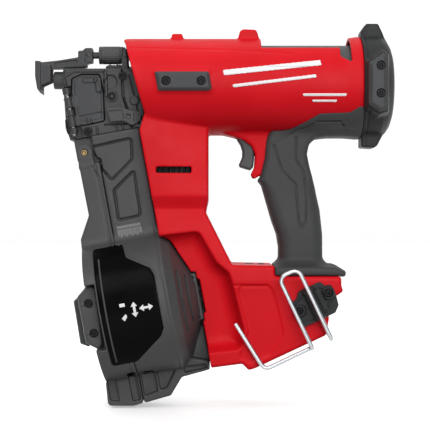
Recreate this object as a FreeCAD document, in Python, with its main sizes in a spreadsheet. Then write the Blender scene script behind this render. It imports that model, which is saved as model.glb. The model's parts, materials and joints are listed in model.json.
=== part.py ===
import FreeCAD, Part
import math
import os

# Battery coil roofing nailer with no battery fitted.  Millimetres.
# X runs along the drive axis and the nose points to -X.  Z is up.  The origin is the mouth of the
# nail bore.  The tool's left side faces -Y.  The coil magazine leans back by magazine_tilt, and the
# battery foot's underside leans by foot_tilt.

Vector = FreeCAD.Vector
Placement = FreeCAD.Placement
Rotation = FreeCAD.Rotation
doc = FreeCAD.newDocument("coil_roofing_nailer")

# ---------------------------------------------------------------- driving dimensions
DIMENSIONS = {
    # housing
    "barrel_radius": 42.0, "barrel_axis_z": -6.0, "barrel_front": 60.0, "barrel_rear": 264.8,
    "shell_wall": 3.0, "shell_gap": 0.1, "leg_half_width": 34.0, "foot_half_width": 38.0,
    "handle_half_width": 13.5, "grip_half_width": 17.5, "overmould_thickness": 1.6,
    "scoop_half_width": 20.0, "lug_half_width": 9.0, "barrel_window_half_width": 24.0,
    # rear cap
    "cap_lug_half_width": 13.0,
    # gas drive
    "storage_radius": 36.0, "storage_wall": 2.2, "storage_front": 129.0, "storage_rear": 260.0,
    "cylinder_bore": 19.0, "cylinder_rear": 232.0, "head_front": 123.0, "piston_front": 199.5,
    "piston_radius": 18.92, "blade_tip": 58.0, "blade_half_height": 2.5,
    "blade_low_y": -4.4, "blade_high_y": 2.4, "tooth_root_y": -0.7, "rack_pitch_y": 1.0,
    # lifter and planetary stage, on the motor's axis
    "motor_axis_x": 108.0, "lifter_pitch_radius": 11.0, "lifter_disc_radius": 13.4,
    "lifter_pin_radius": 1.3, "lifter_pin_step": 32.0, "lifter_pin_count": 10.0,
    "rack_gap_half": 1.85, "output_shaft_radius": 4.0, "gear_module": 0.8, "sun_teeth": 12.0,
    "planet_teeth": 12.0, "ring_teeth": 36.0, "ring_outer_radius": 17.8, "planet_pin_radius": 1.5,
    "gear_low_z": -58.0, "gear_high_z": -47.0, "stator_radius": 17.8, "stator_bore": 10.8,
    "rotor_radius": 10.3, "motor_shaft_radius": 2.5, "fan_radius": 15.0,
    # nose
    "bore_radius": 5.25, "snout_radius": 7.6, "snout_length": 12.0, "nose_half_width": 14.0,
    "nail_slot_half": 5.6, "depth_axis_z": 21.8, "depth_wheel_radius": 7.8,
    "depth_rod_radius": 3.2,
    # magazine, in its own tilted frame
    "magazine_tilt": 10.5, "coil_axis_z": -206.0, "canister_radius": 62.0, "canister_wall": 3.2,
    "split_plane": 27.0, "neck_half_width": 16.0, "pivot_x": 15.6,
    "pivot_z": -67.4, "pivot_pin_radius": 2.5, "post_radius": 6.0, "tray_radius": 44.0,
    # foot, hook and controls
    "foot_tilt": 24.4, "battery_half_width": 30.0, "rail_height": 13.0, "wire_radius": 1.75,
    "trigger_half_width": 8.5, "trigger_pivot_x": 163.0, "trigger_pivot_z": -46.3,
    "trigger_pin_radius": 1.5, "screw_radius": 1.6, "screw_head_radius": 3.4,
}

sheet = doc.addObject("Spreadsheet::Sheet", "sheet")
for row, (alias, value) in enumerate(DIMENSIONS.items(), start=1):
    sheet.set("A%d" % row, alias)
    sheet.set("B%d" % row, str(value))
    sheet.setAlias("B%d" % row, alias)
doc.recompute()


def size(alias):
    """The current value of one driving dimension."""
    return float(sheet.get(alias))


# ---------------------------------------------------------------- frames
WORLD = Placement()
TILT = Placement(Vector(), Rotation(Vector(0, 1, 0), -size("magazine_tilt")))
FOOT_CORNER = Vector(200.0, 0, -232.6)
FOOT = Placement(FOOT_CORNER, Rotation(Vector(0, 1, 0), -size("foot_tilt")))
MOTOR_Y = size("rack_pitch_y") + size("lifter_pitch_radius")
MOTOR_AXIS = Vector(size("motor_axis_x"), MOTOR_Y, 0)
BARREL_Z = size("barrel_axis_z")
X_AXIS = Vector(1, 0, 0)
Y_AXIS = Vector(0, 1, 0)
Z_AXIS = Vector(0, 0, 1)

nodes = []


def node(name, shape_object):
    """Register a finished sub-part under the name its file gets."""
    shape_object.Label = name
    nodes.append(shape_object)
    return shape_object


def bind(feature, **expressions):
    """Bind a feature's properties to the sheet; plain words stand for sheet cells."""
    for prop, expression in expressions.items():
        text = str(expression)
        for alias in sorted(DIMENSIONS, key=len, reverse=True):
            text = text.replace("@" + alias, "sheet." + alias)
        feature.setExpression(prop, text)


# ---------------------------------------------------------------- Part helpers
def cylinder(name, radius, length, start, direction=X_AXIS, frame=WORLD):
    feature = doc.addObject("Part::Cylinder", name)
    bind(feature, Radius=radius, Height=length)
    turn = Rotation(Z_AXIS, direction)
    feature.Placement = frame.multiply(Placement(Vector(*start), turn))
    return feature


def box(name, low, high, frame=WORLD):
    feature = doc.addObject("Part::Box", name)
    feature.Length = high[0] - low[0]
    feature.Width = high[1] - low[1]
    feature.Height = high[2] - low[2]
    feature.Placement = frame.multiply(Placement(Vector(*low), Rotation()))
    return feature


def fuse(name, *shapes):
    feature = doc.addObject("Part::MultiFuse", name)
    feature.Shapes = list(shapes)
    feature.Refine = True
    return feature


def common(name, *shapes):
    feature = doc.addObject("Part::MultiCommon", name)
    feature.Shapes = list(shapes)
    return feature


def cut(name, base, *tools):
    feature = doc.addObject("Part::Cut", name)
    feature.Base = base
    feature.Tool = tools[0] if len(tools) == 1 else fuse(name + "_tools", *tools)
    return feature


def group(name, *shapes):
    """Several equal fasteners in one node: separate solids of one compound."""
    feature = doc.addObject("Part::Compound", name)
    feature.Links = list(shapes)
    return feature


def corner_arc(before, corner, after, radius):
    """Tangent points and middle of the arc that rounds one corner of an outline."""
    to_before = (before - corner)
    to_after = (after - corner)
    room = 0.45 * min(to_before.Length, to_after.Length)
    to_before.normalize()
    to_after.normalize()
    half_turn = 0.5 * to_before.getAngle(to_after)
    reach = min(radius / math.tan(half_turn), room)
    real_radius = reach * math.tan(half_turn)
    start = corner + to_before * reach
    end = corner + to_after * reach
    bisector = (to_before + to_after).normalize()
    centre = corner + bisector * (real_radius / math.sin(half_turn))
    middle = centre - bisector * real_radius
    return start, middle, end


def outline_edges(points, radius=0.0):
    """Lines and corner arcs of a closed outline given by its corners."""
    corners = [Vector(x, z, 0) for x, z in points]
    count = len(corners)
    arcs = []
    for index, corner in enumerate(corners):
        before = corners[index - 1]
        after = corners[(index + 1) % count]
        straight = (before - corner).getAngle(after - corner) > math.radians(176)
        if radius == 0.0 or straight:
            arcs.append((corner, None, corner))
        else:
            arcs.append(corner_arc(before, corner, after, radius))
    edges = []
    for index, (start, middle, end) in enumerate(arcs):
        if middle is not None:
            edges.append(Part.Arc(start, middle, end))
        following = arcs[(index + 1) % count][0]
        if (following - end).Length > 1e-6:
            edges.append(Part.LineSegment(end, following))
    return edges


def side_sketch(name, points, radius=0.0):
    """A closed outline seen from the tool's left side, in the XZ plane."""
    sketch = doc.addObject("Sketcher::SketchObject", name)
    sketch.Placement = Placement(Vector(), Rotation(X_AXIS, 90))
    sketch.addGeometry(outline_edges(points, radius), False)
    return sketch


def slab(name, points, low, high, radius=0.0, frame=WORLD, inset=None):
    """A side outline made solid from y = low to y = high; inset shrinks the outline first."""
    profile = side_sketch(name + "_outline", points, radius)
    if inset is not None:
        offset = doc.addObject("Part::Offset2D", name + "_inset")
        offset.Source = profile
        offset.Join = 2
        bind(offset, Value="-(%s)" % inset)
        profile = offset
    feature = doc.addObject("Part::Extrusion", name)
    feature.Base = profile
    feature.DirMode = "Custom"
    feature.Dir = Y_AXIS
    feature.Solid = True
    bind(feature, LengthFwd=high, LengthRev="-(%s)" % low)
    feature.Placement = frame
    return feature


def solid(name, shape, frame=WORLD):
    """A shape made with Part's own functions, for forms that no feature makes."""
    feature = doc.addObject("Part::Feature", name)
    feature.Shape = shape
    feature.Placement = frame
    return feature


# ---------------------------------------------------------------- PartDesign helpers
def new_body(name, frame=WORLD):
    body = doc.addObject("PartDesign::Body", name)
    body.Placement = frame
    return body


def body_sketch(body, role, edges, offset=0.0):
    sketch = body.newObject("Sketcher::SketchObject", body.Name + "_sketch")
    plane = [part for part in body.Origin.OriginFeatures if part.Role == role][0]
    sketch.AttachmentSupport = [(plane, "")]
    sketch.MapMode = "FlatFace"
    sketch.AttachmentOffset = Placement(Vector(0, 0, offset), Rotation())
    sketch.addGeometry(edges, False)
    return sketch


def revolved_body(name, profile, frame=WORLD):
    """A PartDesign body turned about its own X axis from (x, radius) corners."""
    body = new_body(name, frame)
    sketch = body_sketch(body, "XZ_Plane", outline_edges(profile))
    turn = body.newObject("PartDesign::Revolution", name + "_turned")
    turn.Profile = sketch
    turn.ReferenceAxis = (sketch, ["H_Axis"])
    turn.Angle = 360.0
    doc.recompute()
    return body


def padded_body(name, points, length, radius=0.0, frame=WORLD):
    """A PartDesign body padded both ways from the XZ plane."""
    body = new_body(name, frame)
    sketch = body_sketch(body, "XZ_Plane", outline_edges(points, radius))
    pad = body.newObject("PartDesign::Pad", name + "_pad")
    pad.Profile = sketch
    pad.Midplane = True
    bind(pad, Length=length)
    doc.recompute()
    return body


def side_pocket(body, name, edges):
    """Cut an outline right through a padded body, both ways from the XZ plane."""
    sketch = body_sketch(body, "XZ_Plane", edges)
    pocket = body.newObject("PartDesign::Pocket", name)
    pocket.Profile = sketch
    pocket.Midplane = True
    pocket.Type = 1
    doc.recompute()
    return pocket


def circle(x, z, radius):
    return Part.Circle(Vector(x, z, 0), Vector(0, 0, 1), radius)


def barrel_frame(x=0.0):
    return Placement(Vector(x, 0, BARREL_Z), Rotation())


# ---------------------------------------------------------------- housing outlines
BARREL_OUTLINE = [(62, 50), (61, 36), (84, -45), (84, -60), (264.8, -60), (264.8, 50)]
LEG_OUTLINE = [(70, -24), (134, -24), (134, -104.5), (131.8, -114.7), (154, -158.6),
               (160, -170), (100, -170), (78, -150)]
LEG_HOLLOW = [(75.5, -24), (131, -24), (131, -104.5), (128.6, -115.2), (133, -126), (94, -126)]
FOOT_OUTLINE = [(92, -130), (128, -130), (154, -158.6), (190, -160), (190, -168), (246, -168),
                (246, -176.5), (247.7, -181), (234, -192), (235.6, -204), (233, -218),
                (168, -247.5), (162, -241), (136, -245.5), (80, -240)]
HANDLE_CORE = [(178, -40), (182.5, -56), (181.7, -68), (178.8, -83), (184, -96), (192, -122),
               (198, -140), (198, -169), (228, -169), (228.5, -132), (226, -113), (221.5, -94),
               (217, -76), (214.5, -64), (216, -56), (224, -48), (236, -40)]
TRIGGER_FRAME = [(150, -40), (151, -48.7), (157.6, -50.4), (165, -52.8), (171, -57.8),
                 (174, -66), (172.7, -76), (170.5, -82), (176, -87), (184, -98), (192, -90),
                 (190, -40)]
GRIP_OUTLINE = [(178.8, -83.3), (176, -87), (179.5, -91), (182.6, -102), (188.4, -122),
                (192.6, -133.5), (194.2, -142), (194.2, -155), (190, -160), (190, -168),
                (249.5, -168), (249.5, -165.4), (242.5, -159.7), (235.7, -159), (232, -155),
                (232, -132), (230, -112.6), (225.8, -93.5), (220.8, -75.3), (218.5, -65.4),
                (219.5, -58.7), (225, -51.7), (234, -48.9), (264.6, -49.4), (264.6, -40),
                (189, -40), (183.5, -52.5), (182.2, -68)]
OVERMOULD_REGION = [(183.5, -52.5), (194, -48.3), (218, -36.7), (228, -31), (253, -30.2),
                    (264.6, -24), (264.6, -52), (183.5, -53)]
SCOOP_OUTLINE = [(90, -129), (124.5, -129.4), (141.7, -156.4), (152, -165.4), (154.5, -174.4),
                 (164.2, -213.4), (162.7, -230), (90, -236)]

barrel_side = slab("barrel_side", BARREL_OUTLINE, "-@barrel_radius - 2", "@barrel_radius + 2")
barrel_round = cylinder("barrel_round", "@barrel_radius", "@barrel_rear - @barrel_front",
                        (size("barrel_front"), 0, BARREL_Z))
barrel = common("barrel", barrel_side, barrel_round)
front_lug = slab("front_lug", [(101, 30), (102.6, 39.6), (111.4, 39.6), (113, 30)],
                 "-@lug_half_width", "@lug_half_width", 2)
rear_lug = slab("rear_lug", [(159, 30), (161, 41.4), (164, 43.2), (174.7, 42.7), (178, 30)],
                "-@lug_half_width - 3", "@lug_half_width + 3", 2)
rear_flange = cylinder("rear_flange", "@barrel_radius + 1.5", "9.6", (255.2, 0, BARREL_Z))
leg = slab("leg", LEG_OUTLINE, "-@leg_half_width", "@leg_half_width", 4)
foot = slab("foot", FOOT_OUTLINE, "-@foot_half_width", "@foot_half_width", 4)
handle_core = slab("handle_core", HANDLE_CORE, "-@handle_half_width", "@handle_half_width", 4)
trigger_frame = slab("trigger_frame", TRIGGER_FRAME, "-@handle_half_width",
                     "@handle_half_width", 2)
envelope = fuse("housing_envelope", barrel, front_lug, rear_lug, rear_flange, leg, foot,
                handle_core, trigger_frame)

# hollow inside, one wall in from the outer surface
barrel_hollow = cylinder("barrel_hollow", "@barrel_radius - @shell_wall",
                         "@barrel_rear - @barrel_front + 20", (size("barrel_front") - 10, 0,
                                                              BARREL_Z))
leg_hollow = slab("leg_hollow", LEG_HOLLOW, "-@leg_half_width + @shell_wall",
                  "@leg_half_width - @shell_wall", 3)
foot_hollow = slab("foot_hollow", FOOT_OUTLINE, "-@scoop_half_width + @shell_wall",
                   "@scoop_half_width - @shell_wall", 4, inset="@shell_wall")
foot_side_hollow = slab("foot_side_hollow", [(170, -172), (226, -174), (229, -196), (229, -206),
                                             (172, -226)],
                        "-@foot_half_width + 4", "@foot_half_width - 4", 3)
handle_hollow = slab("handle_hollow", HANDLE_CORE, "-@handle_half_width + 2.5",
                     "@handle_half_width - 2.5", 4, inset="2.5")
handle_root_hollow = slab("handle_root_hollow", [(188, -36), (186, -60), (212, -60), (226, -36)],
                          "-@handle_half_width + 2.5", "@handle_half_width - 2.5")
leg_root_hollow = box("leg_root_hollow", (86, -31, -60), (131, 31, -20))
scoop_hollow = slab("scoop_hollow", [(96, -122), (128, -122), (150, -157), (156, -168),
                                     (166, -228), (140, -237), (96, -150)],
                    "-@scoop_half_width + @shell_wall", "@scoop_half_width - @shell_wall")
foot_neck_hollow = box("foot_neck_hollow", (200, -11, -176), (226, 11, -150))
trigger_room = slab("trigger_room", [(157.5, -42), (157.5, -90), (170, -90), (184, -86),
                                     (185, -42)],
                    "-@trigger_half_width - 0.5", "@trigger_half_width + 0.5")
cylinder_window = box("cylinder_window", (179, -size("barrel_window_half_width"), 25.5),
                      (244, size("barrel_window_half_width"), 60))
window_end = box("window_end", (242, -40, 16), (254.5, 40, 60))
scoop_left = slab("scoop_left", SCOOP_OUTLINE, "-@foot_half_width - 5", "-@scoop_half_width", 5)
scoop_right = slab("scoop_right", SCOOP_OUTLINE, "@scoop_half_width", "@foot_half_width + 5", 5)
vent_slot = box("vent_slot", (90, -40, -81.2), (119.5, 40, -76))

# clearance for the magazine, which bolts to the front of the leg and foot
magazine_room = box("magazine_room", (-40, -70, -300), (66, 70, -50), TILT)
COIL_FRAME = TILT.multiply(Placement(Vector(0, 0, size("coil_axis_z")), Rotation()))
canister_room = revolved_body("canister_room", [(-20, 0), (-20, 63.2), (66.8, 63.2), (74.2, 56),
                                                (79.2, 44.2), (89.6, 24.4), (93, 24.4), (93, 0)],
                              COIL_FRAME)
boss_room = box("boss_room", (80, -21.5, -227.5), (92.5, 21.5, -184.5), TILT)
magazine_foot_room = box("magazine_foot_room", (0, -70, -300), (90.4, 70, -226), TILT)

# clearance for the battery, which slides in from the rear under the foot
battery_room = box("battery_room", (-34, -size("battery_half_width"), -2),
                   (60, size("battery_half_width"), size("rail_height")), FOOT)
nose_room = slab("nose_room", [(50, 31), (50, -60), (86, -60), (86, -23), (68, -23), (68, 31)],
                 "-@nose_half_width - 0.5", "@nose_half_width + 0.5")

SCREW_SPOTS = [(98, 18), (90, -66), (126, -96), (102, -108), (206, -74), (212, -118),
               (240, -172), (180, -185)]


def right_face(x, z):
    """Height of the right shell's outer face at a screw."""
    if z > -45:
        return math.sqrt(size("barrel_radius") ** 2 - (z - BARREL_Z) ** 2)
    if 178 < x < 232 and z > -150:
        return size("handle_half_width")
    if x > 150:
        return size("foot_half_width")
    return size("leg_half_width")


screws = []
screw_pockets = []
for index, (x, z) in enumerate(SCREW_SPOTS):
    face = right_face(x, z)
    head = cylinder("screw_head_%d" % index, "@screw_head_radius", "2.4", (x, face - 4.4, z),
                    Y_AXIS)
    shank = cylinder("screw_shank_%d" % index, "@screw_radius", "8", (x, face - 12.4, z), Y_AXIS)
    screws.append(fuse("screw_%d" % index, head, shank))
    screw_pockets.append(cylinder("pocket_%d" % index, "@screw_head_radius + 0.05", "30",
                                  (x, face - 4.4, z), Y_AXIS))
    screw_pockets.append(cylinder("boss_hole_%d" % index, "@screw_radius + 0.05", "8.2",
                                  (x, face - 12.6, z), Y_AXIS))

hollow = fuse("housing_hollow", barrel_hollow, leg_hollow, foot_hollow, foot_side_hollow,
              scoop_hollow, handle_hollow, handle_root_hollow, leg_root_hollow,
              foot_neck_hollow)
openings = fuse("housing_openings", trigger_room, cylinder_window, window_end, scoop_left,
                scoop_right, vent_slot, magazine_room, canister_room, boss_room,
                magazine_foot_room, battery_room, nose_room,
                cylinder("trigger_pin_hole_room", "@trigger_pin_radius", "22",
                         (size("trigger_pivot_x"), -11, size("trigger_pivot_z")), Y_AXIS))
button_holes = fuse("button_holes", box("mode_hole", (165.3, -4.3, -166), (172.8, 4.3, -150)),
                    box("gauge_hole", (176.6, -4.3, -166), (182.4, 4.3, -150)))
whole_shell = cut("whole_shell", envelope, hollow, openings, button_holes, *screw_pockets)
left_region = box("left_region", (-50, -80, -320), (320, -size("shell_gap") / 2, 80))
right_region = box("right_region", (-50, size("shell_gap") / 2, -320), (320, 80, 80))
node("housing_left", common("left_shell", whole_shell, left_region))
node("housing_right", common("right_shell", whole_shell, right_region))
node("housing_screws", group("screw_set", *screws))

# ---------------------------------------------------------------- grip overmould
grip_slab = slab("grip_slab", GRIP_OUTLINE, "-@grip_half_width", "@grip_half_width", 3)
saddle_tube = cylinder("saddle_tube", "@barrel_radius + @overmould_thickness", "81.3",
                       (183.5, 0, BARREL_Z))
saddle_region = slab("saddle_region", OVERMOULD_REGION, "-50", "50", 3)
saddle = common("saddle", saddle_tube, saddle_region)
grip_solid = fuse("grip_solid", grip_slab, saddle)
node("grip_overmould", cut("grip_shell", grip_solid, envelope,
                           slab("grip_trigger_room", [(150, -40), (150, -90), (170, -90),
                                                      (184, -86), (185, -40)], "-9.2", "9.2"),
                           cylinder("grip_barrel_room", "@barrel_radius + 0.02", "100",
                                    (180, 0, BARREL_Z))))

# ---------------------------------------------------------------- rear cap and pads
CAP_PROFILE = [(265, 39.4), (265, 43.8), (283, 43.8), (288.5, 38), (291.5, 30), (293.4, 14),
               (294, 0), (289.5, 0), (288.5, 16), (286, 30), (281, 39.4)]
cap_turned = revolved_body("cap_turned", CAP_PROFILE, barrel_frame())
CAP_LUG = [(265.2, 36), (264.6, 41), (268.9, 47.9), (279.8, 47.9), (284, 38.8), (286, 34)]
top_lug = slab("top_lug", CAP_LUG, "-@cap_lug_half_width", "@cap_lug_half_width", 1.5)
BOTTOM_LUG = [(265.2, -40), (265.2, -58.7), (276.4, -59.4), (279, -57.5), (283, -50), (286, -40)]
bottom_lug = slab("bottom_lug", BOTTOM_LUG, "-@cap_lug_half_width", "@cap_lug_half_width", 1.5)
PAD_OUTLINE = [(267, 9), (279.6, 18), (282.5, 15), (282.5, -30), (275.5, -31.3), (267, -25)]
side_lug_left = slab("side_lug_left", PAD_OUTLINE, "-49", "-30", 1)
side_lug_right = slab("side_lug_right", PAD_OUTLINE, "30", "49", 1)
cap_inside = revolved_body("cap_inside", [(250, 0), (250, 39.4), (281, 39.4), (286, 30),
                                          (288.5, 16), (289.5, 0)], barrel_frame())
node("rear_cap", cut("cap_piece", fuse("cap_solid", cap_turned, top_lug, bottom_lug,
                                       side_lug_left, side_lug_right), cap_inside))


def pad_with_screws(name, outline, face, thickness, spots, head):
    """A pair of wear pads on the two sides, each with recessed screws."""
    pads = []
    heads = []
    for side in (-1, 1):
        low, high = sorted((side * face, side * (face + thickness)))
        plate = slab("%s_plate_%d" % (name, side + 1), outline, str(low), str(high), 1.5)
        holes = []
        for index, (x, z) in enumerate(spots):
            start = side * (face + thickness - 2.5)
            tag = "%s_%d_%d" % (name, side + 1, index)
            holes.append(cylinder(tag + "_hole", "%s + 0.05" % head, "10", (x, start, z),
                                  Y_AXIS * side))
            heads.append(cylinder(tag + "_screw", head, "1.6", (x, start, z), Y_AXIS * side))
        pads.append(cut("%s_%d" % (name, side + 1), plate, *holes))
    return group(name + "_pair", *pads), group(name + "_screw_pair", *heads)


rear_pads, rear_pad_screws = pad_with_screws("rear_pad", PAD_OUTLINE, 49.0, 5.5,
                                             [(277, 7.0), (277, -16.0)], "3.4")
node("rear_side_pads", rear_pads)
node("rear_pad_screws", rear_pad_screws)
FRONT_PAD = [(89, 3), (134.5, 3), (137, -11), (134.5, -13), (92, -13)]
front_pads, front_pad_screws = pad_with_screws("front_pad", FRONT_PAD, 42.0, 4.5,
                                               [(98.7, -5), (128, -5)], "3.4")
node("front_side_pads", front_pads)
node("front_pad_screws", front_pad_screws)

# ---------------------------------------------------------------- gas storage and drive cylinder
wall = size("storage_wall")
outer = size("storage_radius")
front = size("storage_front")
rear = size("storage_rear")
STORAGE = [(front, outer - wall), (front, outer), (rear, outer), (rear + 10, outer - 7),
           (rear + 14, outer - 16), (rear + 15, 6), (rear + 12.5, 6), (rear + 11.5, outer - 17),
           (rear + 8, outer - 9), (rear - 1, outer - wall)]
node("storage_cylinder", revolved_body("storage_body", STORAGE, barrel_frame()))
bore = size("cylinder_bore")
drive_tube = [(size("head_front") + 6, bore), (size("head_front") + 6, bore + 2.2),
              (size("cylinder_rear"), bore + 2.2), (size("cylinder_rear"), bore)]
node("drive_cylinder", revolved_body("drive_tube", drive_tube))
head_plate = cylinder("head_plate", "@storage_radius", "6", (size("head_front"), 0, BARREL_Z))
head_hole = cylinder("head_hole", "7", "8", (size("head_front") - 1, 0, 0))
node("cylinder_head", cut("head_piece", head_plate, head_hole))
bumper_front = size("head_front") + 6.05
node("piston_bumper", revolved_body("bumper_body", [
    (bumper_front, 7.5), (bumper_front, 18.6), (bumper_front + 8, 18.6),
    (bumper_front + 12, 15), (bumper_front + 12, 10), (bumper_front + 9, 7.5)]))
valve_x = size("storage_rear") + 12.6
node("fill_valve", revolved_body("valve_body", [
    (valve_x - 6, 0), (valve_x - 6, 5.95), (valve_x + 3, 5.95), (valve_x + 3, 4),
    (valve_x + 7, 4), (valve_x + 7, 0)], barrel_frame()))

# ---------------------------------------------------------------- piston, seal and driver blade
piston_x = size("piston_front")
piston_r = size("piston_radius")
node("piston", revolved_body("piston_body", [
    (piston_x, 0), (piston_x, piston_r), (piston_x + 5, piston_r), (piston_x + 5, 16.5),
    (piston_x + 8, 16.5), (piston_x + 8, piston_r), (piston_x + 16, piston_r),
    (piston_x + 16, 13), (piston_x + 9, 11), (piston_x + 9, 0)]))
node("piston_seal", revolved_body("seal_body", [
    (piston_x + 5.05, 16.55), (piston_x + 5.05, 18.96), (piston_x + 7.95, 18.96),
    (piston_x + 7.95, 16.55)]))


def blade_edges():
    """Plan outline of the blade: a bar with a rack of square gaps on its lifter side."""
    low_y, high_y, root_y = size("blade_low_y"), size("blade_high_y"), size("tooth_root_y")
    half_gap = size("rack_gap_half")
    step = math.radians(size("lifter_pin_step")) * size("lifter_pitch_radius")
    tip, end = size("blade_tip"), size("piston_front")
    points = [(tip + 1.5, low_y), (end, low_y), (end, high_y)]
    for index in reversed(range(int(size("lifter_pin_count")))):
        centre = size("motor_axis_x") + index * step
        points += [(centre + half_gap, high_y), (centre + half_gap, root_y),
                   (centre - half_gap, root_y), (centre - half_gap, high_y)]
    points += [(tip + 1.5, high_y), (tip, high_y - 1.5), (tip, low_y + 1.5)]
    return outline_edges(points)


blade = new_body("blade_body")
blade_sketch = body_sketch(blade, "XY_Plane", blade_edges())
blade_pad = blade.newObject("PartDesign::Pad", "blade_pad")
blade_pad.Profile = blade_sketch
blade_pad.Midplane = True
bind(blade_pad, Length="2 * @blade_half_height")
doc.recompute()
node("driver_blade", blade)

# ---------------------------------------------------------------- lifter and planetary gears
pitch_r = size("lifter_pitch_radius")
motor_x = size("motor_axis_x")


def upright(name, radius, low_z, high_z, dx=0.0, dy=0.0):
    """A cylinder parallel to the motor's axis, placed from that axis."""
    start = (motor_x + dx, MOTOR_Y + dy, low_z)
    return cylinder(name, radius, str(high_z - low_z), start, Z_AXIS)


lifter_discs = fuse("lifter_discs", upright("low_disc", "@lifter_disc_radius", -8, -3.6),
                    upright("high_disc", "@lifter_disc_radius", 3.6, 6.6),
                    upright("lifter_core", "6.2", -4, 4))
node("lifter_wheel", cut("lifter_bored", lifter_discs,
                         upright("lifter_bore", "@output_shaft_radius", -9, 8)))
lifter_pins = []
for index in range(int(size("lifter_pin_count"))):
    angle = math.radians(-90 + index * size("lifter_pin_step"))
    lifter_pins.append(upright("lifter_pin_%d" % index, "@lifter_pin_radius", -3.6, 3.6,
                               pitch_r * math.cos(angle), pitch_r * math.sin(angle)))
node("lifter_pins", group("lifter_pin_set", *lifter_pins))

module = size("gear_module")
gear_low = size("gear_low_z")
gear_high = size("gear_high_z")
ADDENDUM = 0.45
DEDENDUM = 0.75
TOOTH_HALF = 0.45


def gear_wire(teeth, turn, inward=False):
    """Closed tooth outline of a spur gear; inward teeth make a ring gear's inner wall."""
    pitch = 0.5 * module * teeth
    tip = pitch - ADDENDUM if inward else pitch + ADDENDUM
    root = pitch + DEDENDUM if inward else pitch - DEDENDUM
    points = []
    for index in range(teeth):
        centre = math.radians(turn) + 2 * math.pi * index / teeth
        for radius, half in ((root, TOOTH_HALF + 0.2), (tip, TOOTH_HALF - 0.15)):
            points.append((radius, centre - half / radius))
        for radius, half in ((tip, TOOTH_HALF - 0.15), (root, TOOTH_HALF + 0.2)):
            points.append((radius, centre + half / radius))
    corners = [Vector(radius * math.cos(angle), radius * math.sin(angle), 0)
               for radius, angle in points]
    return Part.makePolygon(corners + [corners[0]])


def gear_feature(name, teeth, turn, low_z, high_z, centre, hole=None):
    face = Part.Face(gear_wire(teeth, turn))
    shape = face.extrude(Vector(0, 0, high_z - low_z))
    if hole:
        shape = shape.cut(Part.makeCylinder(hole, high_z - low_z))
    return solid(name, shape, Placement(centre + Vector(0, 0, low_z), Rotation()))


sun = gear_feature("sun_gear", int(size("sun_teeth")), 0, gear_low, gear_high - 1, MOTOR_AXIS)
ring_blank = Part.makeCylinder(size("ring_outer_radius"), gear_high - gear_low)
ring_teeth_space = Part.Face(gear_wire(int(size("ring_teeth")), 0, True)).extrude(
    Vector(0, 0, gear_high - gear_low))
ring_shape = ring_blank.cut(ring_teeth_space)
node("ring_gear", solid("ring_solid", ring_shape,
                        Placement(MOTOR_AXIS + Vector(0, 0, gear_low), Rotation())))

carrier_radius = 0.5 * module * (size("sun_teeth") + size("planet_teeth"))
planet_centres = []
for index in range(3):
    angle = 2 * math.pi * index / 3
    planet_centres.append(Vector(carrier_radius * math.cos(angle),
                                 carrier_radius * math.sin(angle), 0))
    centre = MOTOR_AXIS + planet_centres[-1]
    node("planet_gear_%d" % (index + 1),
         gear_feature("planet_solid_%d" % index, int(size("planet_teeth")), 15, gear_low + 0.4,
                      gear_high - 0.6, centre, size("planet_pin_radius") + 0.05))
carrier_parts = [upright("carrier_disc", "12.5", gear_high - 0.2, gear_high + 3.8),
                 upright("output_shaft", "@output_shaft_radius", gear_high + 3.8, 7.6)]
for index, centre in enumerate(planet_centres):
    carrier_parts.append(upright("planet_pin_%d" % index, "@planet_pin_radius", gear_low + 0.2,
                                 gear_high - 0.2, centre.x, centre.y))
node("planet_carrier", fuse("carrier_piece", *carrier_parts))

# ---------------------------------------------------------------- motor
rotor_shaft = upright("rotor_shaft", "@motor_shaft_radius", -112, gear_low + 2)
rotor_core = upright("rotor_core", "@rotor_radius", -94, -66)
node("motor_rotor", fuse("rotor_piece", rotor_shaft, rotor_core, sun))
stator_core = cut("stator_core", upright("stator_drum", "@stator_radius", -94, -66),
                  upright("stator_hole", "@stator_bore", -95, -65))
stator_slots = []
for index in range(6):
    notch = box("stator_slot_%d" % index, (13.4, -2.2, -95), (16.4, 2.2, -65))
    notch.Placement = Placement(MOTOR_AXIS + Vector(0, 0, 0), Rotation(Z_AXIS, 60 * index + 30)
                                ).multiply(notch.Placement)
    stator_slots.append(notch)
node("motor_stator", cut("stator_piece", stator_core, *stator_slots))


def ring_upright(name, inner, outer_radius, low_z, high_z):
    return cut(name, upright(name + "_out", outer_radius, low_z, high_z),
               upright(name + "_in", inner, low_z - 1, high_z + 1))


node("motor_bearings", group("bearing_pair",
                             ring_upright("top_bearing", "@motor_shaft_radius + 0.05", "7",
                                          -64.5, -60.5),
                             ring_upright("low_bearing", "@motor_shaft_radius + 0.05", "7",
                                          -111, -107)))
node("output_bearing", ring_upright("output_race", "@output_shaft_radius + 0.05", "9", -39.5,
                                    -33.5))
fan_hub = upright("fan_hub", "5", -104, -98)
fan_disc = upright("fan_disc", "@fan_radius", -99.5, -98)
fan_parts = [fan_hub, fan_disc]
for index in range(9):
    vane = box("fan_vane_%d" % index, (4, -0.6, -104), (14.6, 0.6, -99.2))
    vane.Placement = Placement(MOTOR_AXIS, Rotation(Z_AXIS, 40 * index)).multiply(vane.Placement)
    fan_parts.append(vane)
node("cooling_fan", cut("fan_piece", fuse("fan_solid", *fan_parts),
                        upright("fan_bore", "@motor_shaft_radius", -105, -97)))

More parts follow.
